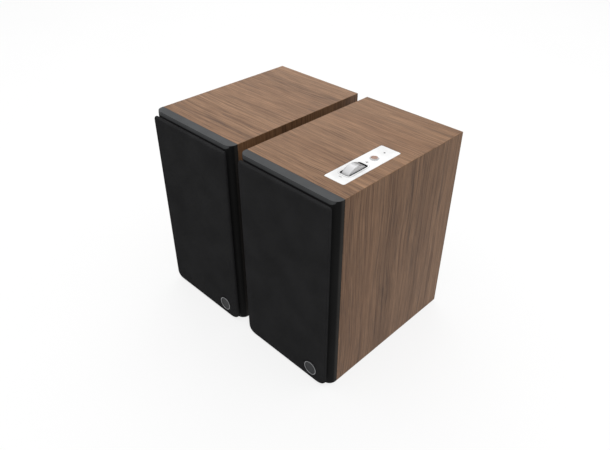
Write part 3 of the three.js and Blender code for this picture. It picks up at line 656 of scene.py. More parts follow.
NEAR_BLACK = (0.016, 0.016, 0.017)
right_walnut = walnut("walnut_right", 3.1)
left_walnut = walnut("walnut_left", 40.7)
# The baffle's satin black with painted light: a pale painted highlight on level faces and painted
# shade on the turning edges.
baffle_paint_and_painted_light = lacquer_with_painted_light("baffle_paint_and_painted_light", (0.069, 0.071, 0.073), (0.022, 0.022, 0.023),
                         (0.007, 0.007, 0.007), (0.027, 0.025, 0.023), 0.6)
satin = moulded("satin_black_paint", (0.030, 0.030, 0.031), 0.6, 0.5, 0.012, 0.08)
plastic = moulded("black_plastic", NEAR_BLACK, 0.5, 0.4, 0.02, 0.4)
frame_plastic = moulded("frame_plastic", (0.012, 0.012, 0.013), 0.62, 0.6, 0.03, 0.35)
vinyl = leathery("rear_vinyl", (0.022, 0.022, 0.023), 0.55)
cloth = woven("grille_weave", (0.0238, 0.0238, 0.0245), 0.7, 0.12, 0.5, 0.0, 0.0)
gunmetal = brushed("gunmetal", (0.030, 0.031, 0.033), 0.5, "Z", 0.5)
ring_steel = brushed("badge_ring", (0.29, 0.29, 0.30), 0.35, "X", 0.3)
silk = woven("silk_dome", (0.02, 0.02, 0.023), 0.45, 0.04, 0.4, 0.3, 0.3)
ferrite = moulded("ferrite", (0.03, 0.03, 0.032), 0.65, 1.2, 0.05)
basket_paint = moulded("basket_paint", (0.018, 0.018, 0.02), 0.4, 0.5, 0.03, 0.5)
rubber = moulded("surround_rubber", (0.014, 0.014, 0.016), 0.55, 0.5, 0.01, 0.35)
pulp = fibrous("cone_pulp", (0.03, 0.03, 0.034), 0.7)
spider_cloth = woven("spider_cloth", (0.40, 0.22, 0.08), 0.9, 0.2, 0.4)
foot_rubber = moulded("foot_rubber", (0.012, 0.012, 0.012), 0.8, 0.8, 0.05, 0.3)
red = moulded("cap_red", (0.36, 0.012, 0.010), 0.28, 0.8, 0.004)
black_gloss = moulded("cap_black", (0.010, 0.010, 0.011), 0.25, 0.8, 0.004)
white = moulded("plate_white", (0.70, 0.70, 0.70), 0.45, 0.45, 0.006, 0.2)
board = printed_board("circuit_board", (0.012, 0.09, 0.035), (0.08, 0.20, 0.06))
steel = brushed("steel", (0.46, 0.47, 0.48), 0.35, "Z", 0.4)
panel_paint = moulded("panel_paint", (0.020, 0.020, 0.022), 0.5, 0.3, 0.04, 0.45)
gold = brushed("gold_plating", (0.78, 0.50, 0.18), 0.22, "Y", 0.3)
grey_mark = moulded("grey_mark", (0.12, 0.12, 0.12), 0.7, specular=0.1)
painted_shadow_grey = moulded("painted_shadow_grey", (0.42, 0.42, 0.42), 0.6, specular=0.1)
slot_black_and_shade = moulded("slot_black_and_shade", (0.004, 0.004, 0.004), 0.8, 0.5, 0.02, 0.1)
pale_mark = moulded("pale_mark", (0.62, 0.62, 0.61), 0.6)


# ---------------------------------------------------------------- cabinet

def make_cabinet(side, material):
    place = Place(f"{side}_cabinet")
    edge = 0.45
    width, depth, height = place.size
    at = (place.middle.x, place.low.y, place.middle.z)
    levels = [(edge, 0), (0, edge), (0, depth - edge), (edge, depth)]
    wrap = slab("Y", at, width, height, edge, levels, 3)
    inner = slab("Y", at, width - 2 * WALL, height - 2 * WALL, 1.0, [(0, -5), (0, depth + 5)], 3)
    cutters = [inner]
    if side == "right":
        plate = Place("control_plate")
        at = (plate.middle.x, plate.middle.y, plate.high.z)
        width, length = plate.size.x + 2 * FIT, plate.size.y + 2 * FIT
        cutters.append(slab("Z", at, width, length, 2.8, [(0, -WALL - 4), (0, 3)]))
    side_piece(side, "walnut_wrap", carve(wrap, *cutters), material, "cabinet",
               angle=25)


def board_outline(half, back, front, radius, steps=14):
    """The plan of a board whose two front edges are rounded."""
    ring = [(half, back), (-half, back)]
    for sign, first in ((-1, 180), (1, 270)):
        centre = (sign * (half - radius), front + radius)
        ring += arc(centre, (radius, radius), first, first + 90, steps)
    return ring


def chamfered_board(x, low, high, half, back, front, radius, lean, fall):
    """A round-fronted board whose front leans back by lean over its last fall of height.

    The lean dies away as the outline turns the front corners."""
    edge, brow, tuck, drawn_in = 0.4, 0.15, 0.12, 0.999
    rings = []
    for inset, z in ((edge, low), (0, low + edge)):
        outline = board_outline(half - inset, back, front + inset, radius)
        rings.append([(x + u, v, z) for u, v in outline])
    outline = board_outline(half, back, front, radius)
    share = [max(0.0, 1 - (v - front) / (radius / 2)) for _, v in outline]
    plan = [(u, v, w) for (u, v), w in zip(outline, share)]
    rings.append([(x + u, v, high - edge - w * (fall - edge)) for u, v, w in plan])
    rings.append([(x + u, v + w * lean, high - brow) for u, v, w in plan])
    rings.append([(x + drawn_in * u, v + w * lean + tuck, high) for u, v, w in plan])
    return loft(rings)


def make_baffle(side):
    place = Place(f"{side}_baffle")
    drivers = [Place(f"{side}_{node}").middle.z for node in ("woofer_basket", "tweeter_faceplate")]
    x, face = place.middle.x, place.low.y
    half = place.size.x / 2
    back = Place(f"{side}_cabinet").low.y - SEAM
    outer = chamfered_board(x, place.low.z, place.high.z, half, back, face, 12.5, 1.0, 5.4)
    inside = 2 * (WALL + FIT)
    rebate = slab("Y", (x, back - 1, place.middle.z), 2 * half - inside, place.size.z - inside, 1.0,
                  [(0, 0), (0, place.high.y - back + 1)])

    def bores(near, *sizes):
        """A round hole for each driver, given its radius and how deep it goes."""
        return merged(*(
            rod("Y", (x, face, z), radius, near, far) for z, (radius, far) in zip(drivers, sizes)
        ))

    seats = bores(-2, (WOOFER_RADIUS + FIT, 7), (TWEETER_RADIUS + FIT, 4.3))
    throats = bores(2, (66, 40), (40, 40))
    sockets = merged(*(
        rod("Y", (x + dx, face, place.low.z + z), 3.2, -2, 10, 24) for dx, z in PEGS
    ))
    mesh = carve(outer, seats, throats, sockets, added=rebate)
    side_piece(side, "front_baffle", mesh, baffle_paint_and_painted_light, "baffle", angle=9)


def make_port(side):
    place = Place(f"{side}_port_tube")
    at = (place.middle.x, place.high.y - 2.2, place.middle.z)
    bore, wall, length = 22.0, 2.0, 108.0
    profile = [(bore, -length), (bore + wall, -length), (bore + wall, 0), (bore + 10, 0)]
    profile += arc((bore + 9.2, 1.2), (0.8, 1.0), 0, 90, 4)
    profile += arc((bore + 9, -7), (9, 9.2), 90, 180, 14)
    side_piece(side, "port", lathe("Y", at, profile), plastic, "port_tube")


def make_feet(side):
    for end in ("front", "rear"):
        place = Place(f"{side}_{end}_foot")
        at = (place.middle.x, place.middle.y, place.low.z)
        width, depth, height = place.size
        levels = [(0.5, 0), (0, 0.5), (0, height - 0.2), (0.2, height)]
        form = slab("Z", at, width, depth, 5.5, levels)
        side_piece(side, f"{end}_foot_strip", form, foot_rubber, f"{end}_foot")


# ---------------------------------------------------------------- grille

def make_grille(side):
    cad = Place(f"{side}_grille_frame")
    badge = Place(f"{side}_badge")
    underside = Place(f"{side}_cabinet").low.z
    depth, edge, rail = 5.2, 3.2, 13.0
    crossbar = (underside + 173.5, underside + 183.5)
    x, front = cad.middle.x, cad.low.y
    back = front + depth
    curve = [(edge - u, edge - depth - v) for u, v in arc((0, 0), (edge, edge), 0, 90, 6)]
    bends = tuple(bend - CLOTH_GAP for bend in CLOTH_CORNERS)
    form = slab("Y", (x, back, cad.middle.z), cad.size.x, cad.size.z, bends, [(0, 0)] + curve)
    openings = []
    for low, high in ((cad.low.z + rail, crossbar[0]), (crossbar[1], cad.high.z - rail)):
        at = (x, front, (low + high) / 2)
        openings.append(slab("Y", at, cad.size.x - 2 * rail, high - low, 10, [(0, -3), (0, 10)]))
    side_piece(side, "grille_board", carve(form, merged(*openings)), frame_plastic,
               "grille_frame", "grille", 25)
    peg = [(0, -0.5), (2.8, -0.5), (2.8, 7.6), (2.3, 9), (0, 9)]
    pegs = [lathe("Y", (x + dx, back, underside + z), peg, 24) for dx, z in PEGS]
    side_piece(side, "grille_pegs", merged(*pegs), frame_plastic, body="grille")
    pad = slab("Y", (badge.middle.x, front, badge.middle.z), 27, 25, 3, [(0, 0.1), (0, 5.6)])
    side_piece(side, "badge_pad", pad, frame_plastic, body="grille")
    make_cloth(side, cad, back)
    make_badge(side, badge)


def make_cloth(side, cad, board_back):
    """The cloth is drawn over the board's front and sides and turned in behind it."""
    front, back = cad.low.y - 1.0, board_back + 0.35
    low, high = cad.low.z - CLOTH_GAP, cad.high.z + CLOTH_GAP
    half = cad.size.x / 2 + CLOTH_GAP
    curves = (11.0, 5.0, 2.5)     # how far the sides, the top and the bottom curve in
    squareness = 3 / 4            # 1 would be a plain quarter ellipse
    start = board_back - 1.2
    deep = start - front

    def ring(inset, y, radius=CLOTH_CORNERS, share=0.0, side_inset=None):
        """The cloth's outline at one depth, drawn in by inset and by a share of its curves."""
        ends, top, bottom = (inset + share * curve for curve in curves)
        if side_inset is not None:
            ends = side_inset
        flat = rounded_rectangle(2 * (half - ends), high - low - top - bottom, radius, 6)
        return placed("Y", (cad.middle.x, y, (low + bottom + high - top) / 2), flat, 0)

    rings = [
        ring(6.5, back, 2.0), ring(3.2, back, side_inset=1.2),
        ring(1.5, back - 0.35, side_inset=0.5), ring(0.4, back - 1.0, side_inset=0.1),
    ]
    steps = 14
    for step in range(steps + 1):
        angle = math.pi / 2 * step / steps
        share = 1 - math.cos(angle) ** squareness
        rings.append(ring(0, start - deep * math.sin(angle) ** squareness, share=share))
    rings.append(ring(10, front, share=1.0))
    sheet = side_piece(side, "cloth", loft(rings, ends=(False, True)), cloth,
                       "grille_cloth", "grille", 50)
    thick = sheet.modifiers.new("thickness", "SOLIDIFY")
    thick.thickness = 0.45 * MM
    thick.offset = -1.0


def make_badge(side, place):
    radius, thick = place.size.x / 2, place.size.y
    at = (place.middle.x, place.low.y, place.middle.z)
    rim_width = 1.15
    inner = radius - rim_width
    disc = [(0, 0.55), (inner - 0.7, 0.55), (inner - 0.4, 0.75), (inner, 0.75), (inner, thick),
            (0, thick)]
    side_piece(side, "badge_disc", lathe("Y", at, disc), gunmetal, "badge", "grille")
    bead = arc((radius - rim_width / 2, 0.45), (rim_width / 2, 0.45), 180, 360, 10)
    rim = [(inner, 0.5)] + bead + [(radius, thick), (inner, thick)]
    side_piece(side, "badge_rim", lathe("Y", at, rim), ring_steel, body="grille")


# ---------------------------------------------------------------- drivers

def make_tweeter(side):
    place = Place(f"{side}_tweeter_faceplate")
    at = (place.middle.x, place.low.y, place.middle.z)
    plate = [(14.8, 8), (14.8, 5.8)]
    plate += arc((34, 7.2), (19, 7.2), 200, 270, 14)
    plate += [(36, 0), (36.3, 0.35), (37.1, 0.35), (37.4, 0)]
    rim = TWEETER_RADIUS
    plate += [(rim - 0.6, 0), (rim - 0.15, 0.15), (rim, 0.6), (rim, 4), (36, 4), (36, 8)]
    side_piece(side, "tweeter_plate", lathe("Y", at, plate), satin,
               "tweeter_faceplate")
    foot = 12.2
    dome = [(r, y) for r, y in arc((0, 14.2), (12.4, 11), 270, 320, 12) if r < foot]
    dome += [(foot, 7.0)] + arc((13.3, 7.0), (1.1, 0.9), 180, 360, 8)
    dome += [(14.4, 7.6), (12.7, 7.6), (12.7, 13), (foot, 13), (foot, 7.8), (6.8, 5.0), (0, 3.9)]
    side_piece(side, "silk_dome", lathe("Y", at, dome, 64), silk, "tweeter_dome",
               "tweeter")
    side_piece(side, "tweeter_screws", screw_circle(at, 4, 45, 45, 2.6, 1.0), black_gloss)


def make_woofer(side):
    place = Place(f"{side}_woofer_basket")
    at = (place.middle.x, place.low.y, place.middle.z)
    rim = WOOFER_RADIUS
    bowl = [
        (20, 48.5), (37, 48.5), (39, 44.2), (43.8, 44.2), (58.8, 19.5), (60.3, 6.5), (60.3, 4.6),
        (66.5, 4.6), (66.5, 0.5), (66.9, 0.1), (rim - 0.8, 0.0), (rim - 0.2, 0.2), (rim, 0.7),
        (rim, 6.6), (63, 6.6), (61, 20), (46, 46), (44, 51), (20, 51),
    ]
    arms = 6
    low = (at[0] - 20, at[1] + 14, at[2] + 30)
    high = (at[0] + 20, at[1] + 40, at[2] + 80)
    windows = [
        swung(box_form(low, high), "Y", (arm + 0.5) * 360 / arms, at) for arm in range(arms)
    ]
    side_piece(side, "basket", carve(lathe("Y", at, bowl), merged(*windows)), basket_paint,
               "woofer_basket")
    side_piece(side, "woofer_screws", screw_circle(at, arms, 30, 69.7, 2.4, 0.9), black_gloss)

    former, cone_steps = 16.0, 12
    cone = []
    for step in range(cone_steps + 1):
        share = step / cone_steps
        cone.append((17.8 + 30.8 * share, 33.0 - 28.2 * share ** 0.92))
    cone += [(49.4, 4.8), (49.4, 5.6), (18.4, 34.6), (former + 0.8, 36), (former + 0.8, 62)]
    cone += [(former, 62), (former, 33)]
    side_piece(side, "cone", lathe("Y", at, cone), pulp, "woofer_cone", "woofer")
    cap = [(r, y) for r, y in arc((0, 48), (30.5, 25.5), 270, 310, 12) if r < 19.3]
    cap += [(19.5, 30.3), (19.3, 31.0), (10.6, 25.6), (0, 23.6)]
    side_piece(side, "dust_cap", lathe("Y", at, cap, 64), pulp, "woofer_dust_cap",
               "woofer")
    make_surround(side, at)


def make_surround(side, at):
    """A half-roll ring in twelve sectors, between the basket and the cone."""
    sectors, steps = 12, 8
    seat, skin, middle, inner, outer = 4.4, 0.8, 55.0, 45.0, 66.2
    level = seat - skin
    front = [(inner, level)] + arc((middle, level), (5.6, 5.2), 180, 360, 18) + [(outer, level)]
    back = [(outer, seat)] + arc((middle, seat), (4.8, 5.2), 360, 180, 18) + [(inner, seat)]
    profile = front + back
    count = len(profile)
    slopes = []
    for i in range(count):
        (r0, y0), (r1, y1) = profile[i - 1], profile[(i + 1) % count]
        slopes.append(Vector((y1 - y0, r0 - r1)).normalized())
    faces = []
    for base in range(0, steps * count, count):
        for i in range(count):
            after = (i + 1) % count
            faces.append((base + i, base + after, base + count + after, base + count + i))
    for sector in range(sectors):
        points, normals = [], []
        for step in range(steps + 1):
            angle = 2 * math.pi * (sector + step / steps) / sectors
            c, s = math.cos(angle), math.sin(angle)
            for (r, y), slope in zip(profile, slopes):
                points.append((at[0] + r * c, at[1] + y, at[2] + r * s))
                normals.append((slope.x * c, slope.y, slope.x * s))
        name = f"{side}_surround_{sector + 1}"
        mesh = bpy.data.meshes.new(name)
        mesh.from_pydata([tuple(v * MM for v in p) for p in points], [], faces)
        mesh.materials.append(rubber)
        mesh.shade_smooth()
        mesh.normals_split_custom_set_from_vertices(normals)
        thing = add_object(name, mesh)
        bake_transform(thing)
        if sector == 0:
            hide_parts(f"{side}_woofer_surround")


# ---------------------------------------------------------------- controls

def make_controls():
    body = "right_speaker"
    plate = Place("control_plate")
    wheel = Place("volume_wheel")
    x, top = plate.middle.x, plate.high.z
    slot_width, slot_length, slot_bend = 16.8, 39.0, 3.6

    def on_plate(y, width, length, radius, levels, steps=8):
        return slab("Z", (x, y, top), width, length, radius, levels, steps)

    def round_slot(wider, levels):
        """A slab over the wheel's slot, wider than it all round."""
        width, length = slot_width + 2 * wider, slot_length + 2 * wider
        return on_plate(wheel.middle.y, width, length, slot_bend + wider, levels)

    edge = 0.25
    levels = [(0, -plate.size.z), (0, -edge), (edge * 0.3, -edge * 0.3), (edge, 0)]
    form = on_plate(plate.middle.y, plate.size.x, plate.size.y, 2.5, levels)
    slot = round_slot(0, [(0, -6), (0, 3)])
    holes = merged(
        slot,
        rod("Z", (x, Place("source_button").middle.y, top), 6, -6, 3, 64),
        rod("Z", (x, Place("status_lens").middle.y, top), 1.4, -6, 3, 24),
    )
    piece("plate", carve(form, holes), white, body, "control_plate")
    surround = round_slot(1.8, [(0, -0.1), (0, 0.1), (0.1, 0.2), (0.3, 0.24)])
    piece("slot_surround", carve(surround, slot), white, body)
    # A thin grey ring just outside the slot's raised surround: a painted shadow line along the
    # surround's edge.
    outline = round_slot(2.3, [(0, -0.1), (0, 0.05)])
    piece("slot_edge_shadow", carve(outline, slot), painted_shadow_grey, body)
    # A near-black sheet inside the slot just under the plate's top: it stands for the dark housing
    # below the slot, and, blacker than that housing's plastic and covering the plate's slot walls, it
    # also paints the shade of the gap.
    liner = round_slot(-0.05, [(0, -2.2), (0, -0.2)])
    passage = on_plate(wheel.middle.y, wheel.size.x + 0.5, 37.0, 1.0, [(0, -4), (0, 1)])
    piece("slot_liner", carve(liner, passage), slot_black_and_shade, body)

    reach, long, wide, lip = 25.4, 5.0, 0.9, 0.04
    marks = []
    for away, width, length, height in (
        (-reach, long, wide, lip), (reach, long, wide, lip), (reach, wide, long, lip + 0.01),
    ):
        levels = [(0, -0.1), (0, height)]
        marks.append(on_plate(wheel.middle.y + away, width, length, 0.3, levels, 3))
    piece("level_marks", merged(*marks), grey_mark, body)
    make_wheel(wheel)
    make_button(body)
    refinish("control_housing", frame_plastic, 0.3)
    refinish("control_board", board, 0.15)
    refinish("volume_axle", steel, 0.3)


def make_wheel(place):
    """A rounded rim, with a fine groove turned in each end face."""
    radius, half, bend = place.size.z / 2, place.size.x / 2, 0.9
    at = tuple(place.middle)
    groove = [(radius - 3.2, 0), (radius - 2.6, 0.3), (radius - 2.0, 0)]
    rim = [(2.3, -half)] + [(r, -half + deep) for r, deep in groove]
    rim += arc((radius - bend, -half + bend), (bend, bend), 270, 360, 5)
    rim += arc((radius - bend, half - bend), (bend, bend), 0, 90, 5)
    rim += [(r, half - deep) for r, deep in reversed(groove)] + [(2.3, half)]
    # The wheel's end faces carry a pale painted reflection.
    silver = brushed("wheel_aluminium", (0.38, 0.38, 0.385), 0.32, (at, "X"), 0.5,
                     painted_end_reflection=(0.86, 0.86, 0.87))
    piece("wheel", lathe("X", at, rim, 160), silver, "wheel", "volume_wheel")


def make_button(body):
    button = Place("source_button")
    ring = Place("button_ring")
    lens = Place("status_lens")
    rim, inlay, flange, bore = 5.3, 4.75, 5.85, 5.5
    at = (button.middle.x, button.middle.y, button.high.z)
    cap = [(0, -6.8), (flange, -6.8), (flange, -5.6), (rim, -5.6), (rim, -0.35), (rim - 0.12, -0.1),
           (rim - 0.35, 0), (inlay, 0), (inlay, -0.6), (0, -0.6)]
    satin_metal = brushed("button_rim", (0.62, 0.62, 0.63), 0.34, (at, "Z"), 0.35)
    piece("button_cap", lathe("Z", at, cap, 64), satin_metal, "button", "source_button")
    disc = [(0, -0.7), (inlay - 0.02, -0.7), (inlay - 0.02, -0.12)]
    disc += arc((0, -0.12), (inlay - 0.2, 0.2), 0, -90, 10)
    copper = brushed("button_copper", (0.235, 0.150, 0.118), 0.34, (at, "Z"), 0.35)
    piece("button_inlay", lathe("Z", at, disc, 64), copper, "button")
    at = (ring.middle.x, ring.middle.y, ring.high.z)
    collar = [(bore, -4.8), (flange, -4.8), (flange, -0.6), (6.7, -0.6), (6.7, -0.25),
              (6.6, -0.08), (6.4, 0), (5.75, 0), (5.6, -0.06), (bore, -0.25)]
    chrome = brushed("ring_chrome", (0.60, 0.60, 0.61), 0.22, (at, "Z"), 0.4)
    piece("button_collar", lathe("Z", at, collar, 64), chrome, body, "button_ring")
    at = (lens.middle.x, lens.middle.y, lens.high.z)
    radius, crown = 1.35, 0.25
    bead = [(0, -4), (radius, -4), (radius, -crown)]
    bead += arc((0, -crown), (radius, crown), 0, 90, 6)[1:]
    smoke = moulded("lens_smoke", (0.016, 0.015, 0.018), 0.3, 0.8, 0.002, 0.1)
    piece("status_light", lathe("Z", at, bead, 32), smoke, body, "status_lens")


# ---------------------------------------------------------------- amplifier panel

def make_amp_panel():
    body = "right_speaker"
    panel = Place("amp_panel")
    jacks = Place("rca_jacks")
    digital = Place("digital_ports")
    inlet = Place("ac_inlet")
    switch = Place("switch_housing")
    posts = Place("right_post_base")
    face, thick = panel.high.y, panel.size.y
    at = (panel.middle.x, panel.low.y, panel.middle.z)
    levels = [(0, 0), (0, thick - 0.5), (0.15, thick - 0.15), (0.5, thick)]
    form = slab("Y", at, panel.size.x, panel.size.z, 6, levels)
    openings = ((posts, 36, 16), (jacks, 32, 32), (digital, 40, 16), (inlet, 24, 16), (switch, 14, 21))
    holes = []
    for place, width, height in openings:
        at = (place.middle.x, panel.low.y, place.middle.z)
        holes.append(slab("Y", at, width, height, 0.5, [(0, -2), (0, 5)], 2))
    piece("amp_face", carve(form, merged(*holes)), panel_paint, body, "amp_panel")
    heads = [
        screw_form((panel.middle.x + dx, face, panel.middle.z + dz), 3.0, 1.3, facing=1)
        for dx in (-59, 59) for dz in (-86, -29, 29, 86)
    ]
    piece("amp_screws", merged(*heads), black_gloss, body)

    block = [(0, -14), (0, 0.35), (0.25, 0.6)]
    base = slab("Y", (jacks.middle.x, face, jacks.middle.z), 31.2, 31.2, 1.5, block, 4)
    piece("rca_block", base, plastic, body, "rca_jacks")
    lip, apart = face + 0.6, 7.5
    rows = (jacks.middle.z - apart, jacks.middle.z + apart)
    sides = {"red": jacks.middle.x - apart, "white": jacks.middle.x + apart}
    barrels = [jack_form((x, lip, z)) for x in sides.values() for z in rows]
    piece("rca_barrels", merged(*barrels), gold, body)
    for colour, material, slot in (("red", red, "cap_red"), ("white", white, "white_plate")):
        collars = [collar_form((sides[colour], lip, z)) for z in rows]
        piece(f"rca_collars_{colour}", merged(*collars), material, body)

    x, z = jacks.middle.x, digital.middle.z
    base = slab("Y", (digital.middle.x, face, z), 39.2, 15.2, 1.5, block, 4)
    piece("digital_block", base, plastic, body, "digital_ports")
    at = (x + 12, face + 0.5, z)
    optical = slab("Y", at, 10, 10, 1.2, [(0, 0), (0, 1.6), (0.3, 1.9)], 4)
    mouth = slab("Y", at, 6.6, 6.6, 0.6, [(0, 0.5), (0, 3)], 3)
    piece("optical_frame", carve(optical, mouth), plastic, body)
    door = slab("Y", at, 6.3, 6.3, 0.6, [(0, 0.4), (0, 1.0), (0.3, 1.2)], 3)
    piece("optical_door", door, frame_plastic, body)
    at = (x - 1, lip, z)
    piece("coax_barrel", jack_form(at), gold, body)
    orange = moulded("coax_orange", (0.62, 0.16, 0.02), 0.4, 0.8, 0.004)
    piece("coax_collar", collar_form(at), orange, body)
    at = (x - 13, lip, z)
    nut = [(1.8, 0), (4.0, 0), (4.0, 0.9), (3.6, 1.3), (2.3, 1.3), (1.8, 0.8)]
    piece("mini_jack", lathe("Y", at, nut, SMALL_ROUND), steel, body)
    piece("mini_jack_well", rod("Y", at, 1.75, 0.15, 0.45, 24), black_gloss, body)

    make_inlet(body, inlet, face)
    make_rocker(body, switch, face)
    make_post_base(body, posts, face)


def jack_form(at):
    """A phono socket's plated barrel."""
    barrel = [(1.7, 0.0), (4.2, 0.0), (4.2, 8.3), (3.9, 8.8), (3.5, 8.9), (3.2, 8.6), (3.1, 1.4),
              (1.7, 1.4)]
    return lathe("Y", at, barrel, SMALL_ROUND)


def collar_form(at):
    """The coloured ring round a phono socket, and the insulator in its mouth."""
    outer = [(4.3, -0.05), (5.6, -0.05), (5.6, 0.6), (5.3, 0.9), (4.3, 0.9)]
    inner = [(1.6, 1.5), (3.05, 1.5), (3.05, 7.9), (2.8, 8.2), (1.6, 8.2)]
    return merged(lathe("Y", at, outer, SMALL_ROUND), lathe("Y", at, inner, SMALL_ROUND))


def make_inlet(body, place, face):
    """A two-pin mains socket, with a mouth shaped like a figure eight."""
    at = (place.middle.x, face, place.middle.z)
    flange = slab("Y", at, 34, 20, 3, [(0, 0.2), (0, 2.0), (0.2, 2.35), (0.55, 2.5)])
    reach, height, waist = 9.5, 4.9, 0.7
    mouth = []
    for u, v in circle(1.0, 48):
        across = reach * math.copysign(abs(u) ** 0.8, u)
        mouth.append((across, (height - waist * (1 - abs(u)) ** 2) * v))
    cavity = loft(rise("Y", at, lambda inset: mouth, [(0, -12), (0, 5)]))
    piece("inlet_flange", carve(flange, cavity), plastic, body, "ac_inlet")
    outer = slab("Y", at, 23.2, 15.2, 1, [(0, -16), (0, 0.15)], 3)
    piece("inlet_body", carve(outer, cavity), plastic, body)
    pin = [(0, -12.5), (1.2, -12.5), (1.2, -2.6), (0.7, -2), (0, -2)]
    pins = [lathe("Y", (at[0] + dx, at[1], at[2]), pin, 24) for dx in (-4.3, 4.3)]
    piece("inlet_pins", merged(*pins), steel, body)


def make_rocker(body, place, face):
    at = (place.middle.x, face, place.middle.z)
    flange = slab("Y", at, 18, 26, 1.5, [(0, 0.2), (0, 1.5), (0.2, 1.85), (0.6, 2.0)])
    well = slab("Y", at, 11.2, 18.4, 0.8, [(0, -9), (0, 5)], 4)
    piece("switch_bezel", carve(flange, well), plastic, body, "switch_housing")
    outer = slab("Y", at, 13.2, 20.2, 0.8, [(0, -15), (0, 0.15)], 3)
    piece("switch_body", carve(outer, well), plastic, body)

    half, wide, edge, crest, hollow = 8.2, 10.4, 0.5, 3.4, 1.4
    bends = (edge, edge)
    profile = [(-half, -3.0), (half, -3.0)] + arc((half - edge, crest - edge), bends, 0, 80, 4)
    count = 12
    for step in range(1, count):
        share = 1 - 2 * step / count
        profile.append((share * (half - edge), crest - hollow * (1 - share * share)))
    profile += arc((edge - half, crest - edge), bends, 100, 180, 4)
    near = ((edge, 0.0), (0.12, 0.15), (0, edge))
    levels = [(inset, deep - wide / 2) for inset, deep in near]
    levels += [(inset, wide / 2 - deep) for inset, deep in reversed(near)]
    rings = []
    for inset, across in levels:
        ring = []
        for up, out in profile:
            shrink = math.copysign(min(inset, abs(up)), up) if abs(up) > half - 1 else 0.0
            out -= inset if out > 0 else 0.0
            ring.append((at[0] + across, at[1] + out, at[2] + up - shrink))
        rings.append(ring)
    tilt = rocker_tilt()
    piece("rocker", swung(loft(rings), "X", tilt, at), black_gloss, "rocker",
          "power_switch")
    line = slab("Y", (at[0], face + 2.9, at[2] + 5.2), 0.6, 3.2, 0.2, [(0, -0.6), (0, 0.08)], 2)
    loop = tube("Y", (at[0], face + 2.9, at[2] - 5.2), 1.0, 1.5, -0.6, 0.08, 32)
    marks = swung(merged(line, loop), "X", tilt, at)
    piece("rocker_marks", marks, pale_mark, "rocker")


def rocker_tilt():
    """How far the switch leans at rest, from which end of its box stands further out."""
    top, bottom = [], []
    middle = Place("power_switch").middle.z
    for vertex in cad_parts["power_switch"].data.vertices:
        (top if vertex.co.z / MM > middle else bottom).append(vertex.co.y)
    return 9.0 if max(top) < max(bottom) else -9.0


# ---------------------------------------------------------------- terminals

def make_posts(side, body, at, marks_at):
    """Two studs, with a plus and a minus over them."""
    stud = [(0, -0.1), (3.6, -0.1), (3.6, 0.15), (2.2, 0.15), (2.2, 10), (0, 10)]
    studs = [lathe("Y", (at[0] + dx, at[1], at[2]), stud, 24) for dx in (-POST_REACH, POST_REACH)]
    piece(f"{side}_studs", merged(*studs), gold, body)
    marks = []
    for dx, width, height, lip in (
        (-POST_REACH, 3.6, 0.8, 0.05), (-POST_REACH, 0.8, 3.6, 0.06), (POST_REACH, 3.6, 0.8, 0.05),
    ):
        spot = (marks_at[0] + dx, marks_at[1], marks_at[2])
        marks.append(slab("Y", spot, width, height, 0.2, [(0, -0.1), (0, lip)], 2))
    piece(f"{side}_post_marks", merged(*marks), pale_mark, body)


def make_caps(side):
    make_cap(side, "red", red)
    make_cap(side, "black", black_gloss)


def make_cap(side, colour, material):
    """A knurled thumb nut with a plug hole in its end."""
    place = Place(f"{side}_post_cap_{colour}")
    at = (place.middle.x, place.low.y, place.middle.z)
    radius, length = place.size.x / 2, place.size.y
    sides, lobes, hole = 120, 20, 2.5
    levels = [
        (hole, 0, 0), (radius - 0.7, 0, 0), (radius, 0, 0.7), (radius, 0, 2.4),
        (radius - 0.5, 0, 2.7), (radius - 0.5, 0, 3.2), (radius, 0.7, 3.7),
        (radius, 0.7, length - 2.6), (radius - 0.5, 0.2, length - 2.0),
        (radius - 0.6, 0, length - 1.0), (radius - 1.4, 0, length), (hole, 0, length),
    ]
    rings = [
        placed("Y", at, circle(reach, sides, lobes, depth), level) for reach, depth, level in levels
    ]
    body = f"cap_{colour}"
    side_piece(side, f"nut_{colour}", loft(rings, closed=True), material,
               f"post_cap_{colour}", body, 40)
    insert = tube("Y", at, 2.0, hole - 0.05, length - 1.2, length + 0.1, 32)
    side_piece(side, f"nut_insert_{colour}", insert, gold, body=body)


def make_post_base(body, place, face):
    x, z = place.middle.x, place.middle.z
    flange = slab("Y", (x, face, z), 44, 22, 4, [(0, 0.2), (0, 2.4), (0.25, 2.8), (0.7, 3.0)])
    piece("post_plate", flange, plastic, body, "right_post_base")
    make_posts("right", body, (x, face + 3, z), (x, face + 2.0, z + 14.2))
    make_caps("right")


def make_left_terminals():
    body = "left_speaker"
    place = Place("left_terminal_cup")
    face = Place("left_rear_panel").high.y + SEAM
    x, z = place.middle.x, place.middle.z
    at = (x, face, z)
    depth = 20.0
    flange = slab("Y", at, 82, 68, 6, [(0, 0), (0, 1.5), (0.2, 1.85), (0.6, 2)])
    tub = slab("Y", at, 69.2, 55.2, 5, [(0, -depth - 2), (0, 1)])
    levels = [(3, -depth), (1.2, 1 - depth), (0.4, 3 - depth), (0, -1), (-0.5, 2.3)]
    hollow = slab("Y", at, 64, 50, 8, levels)
    piece("terminal_cup", carve(flange, hollow, added=tub), plastic, body,
          "left_terminal_cup")
    make_posts("left", body, (x, face - depth, z), (x, face - depth + 0.02, z + 13.5))
    heads = [
        screw_form((x + dx, face + 2, z + dz), 2.6, 1.1, facing=1)
        for dx in (-36.5, 36.5) for dz in (-29.5, 29.5)
    ]
    piece("cup_screws", merged(*heads), black_gloss, body)
    make_caps("left")


# ---------------------------------------------------------------- the pair

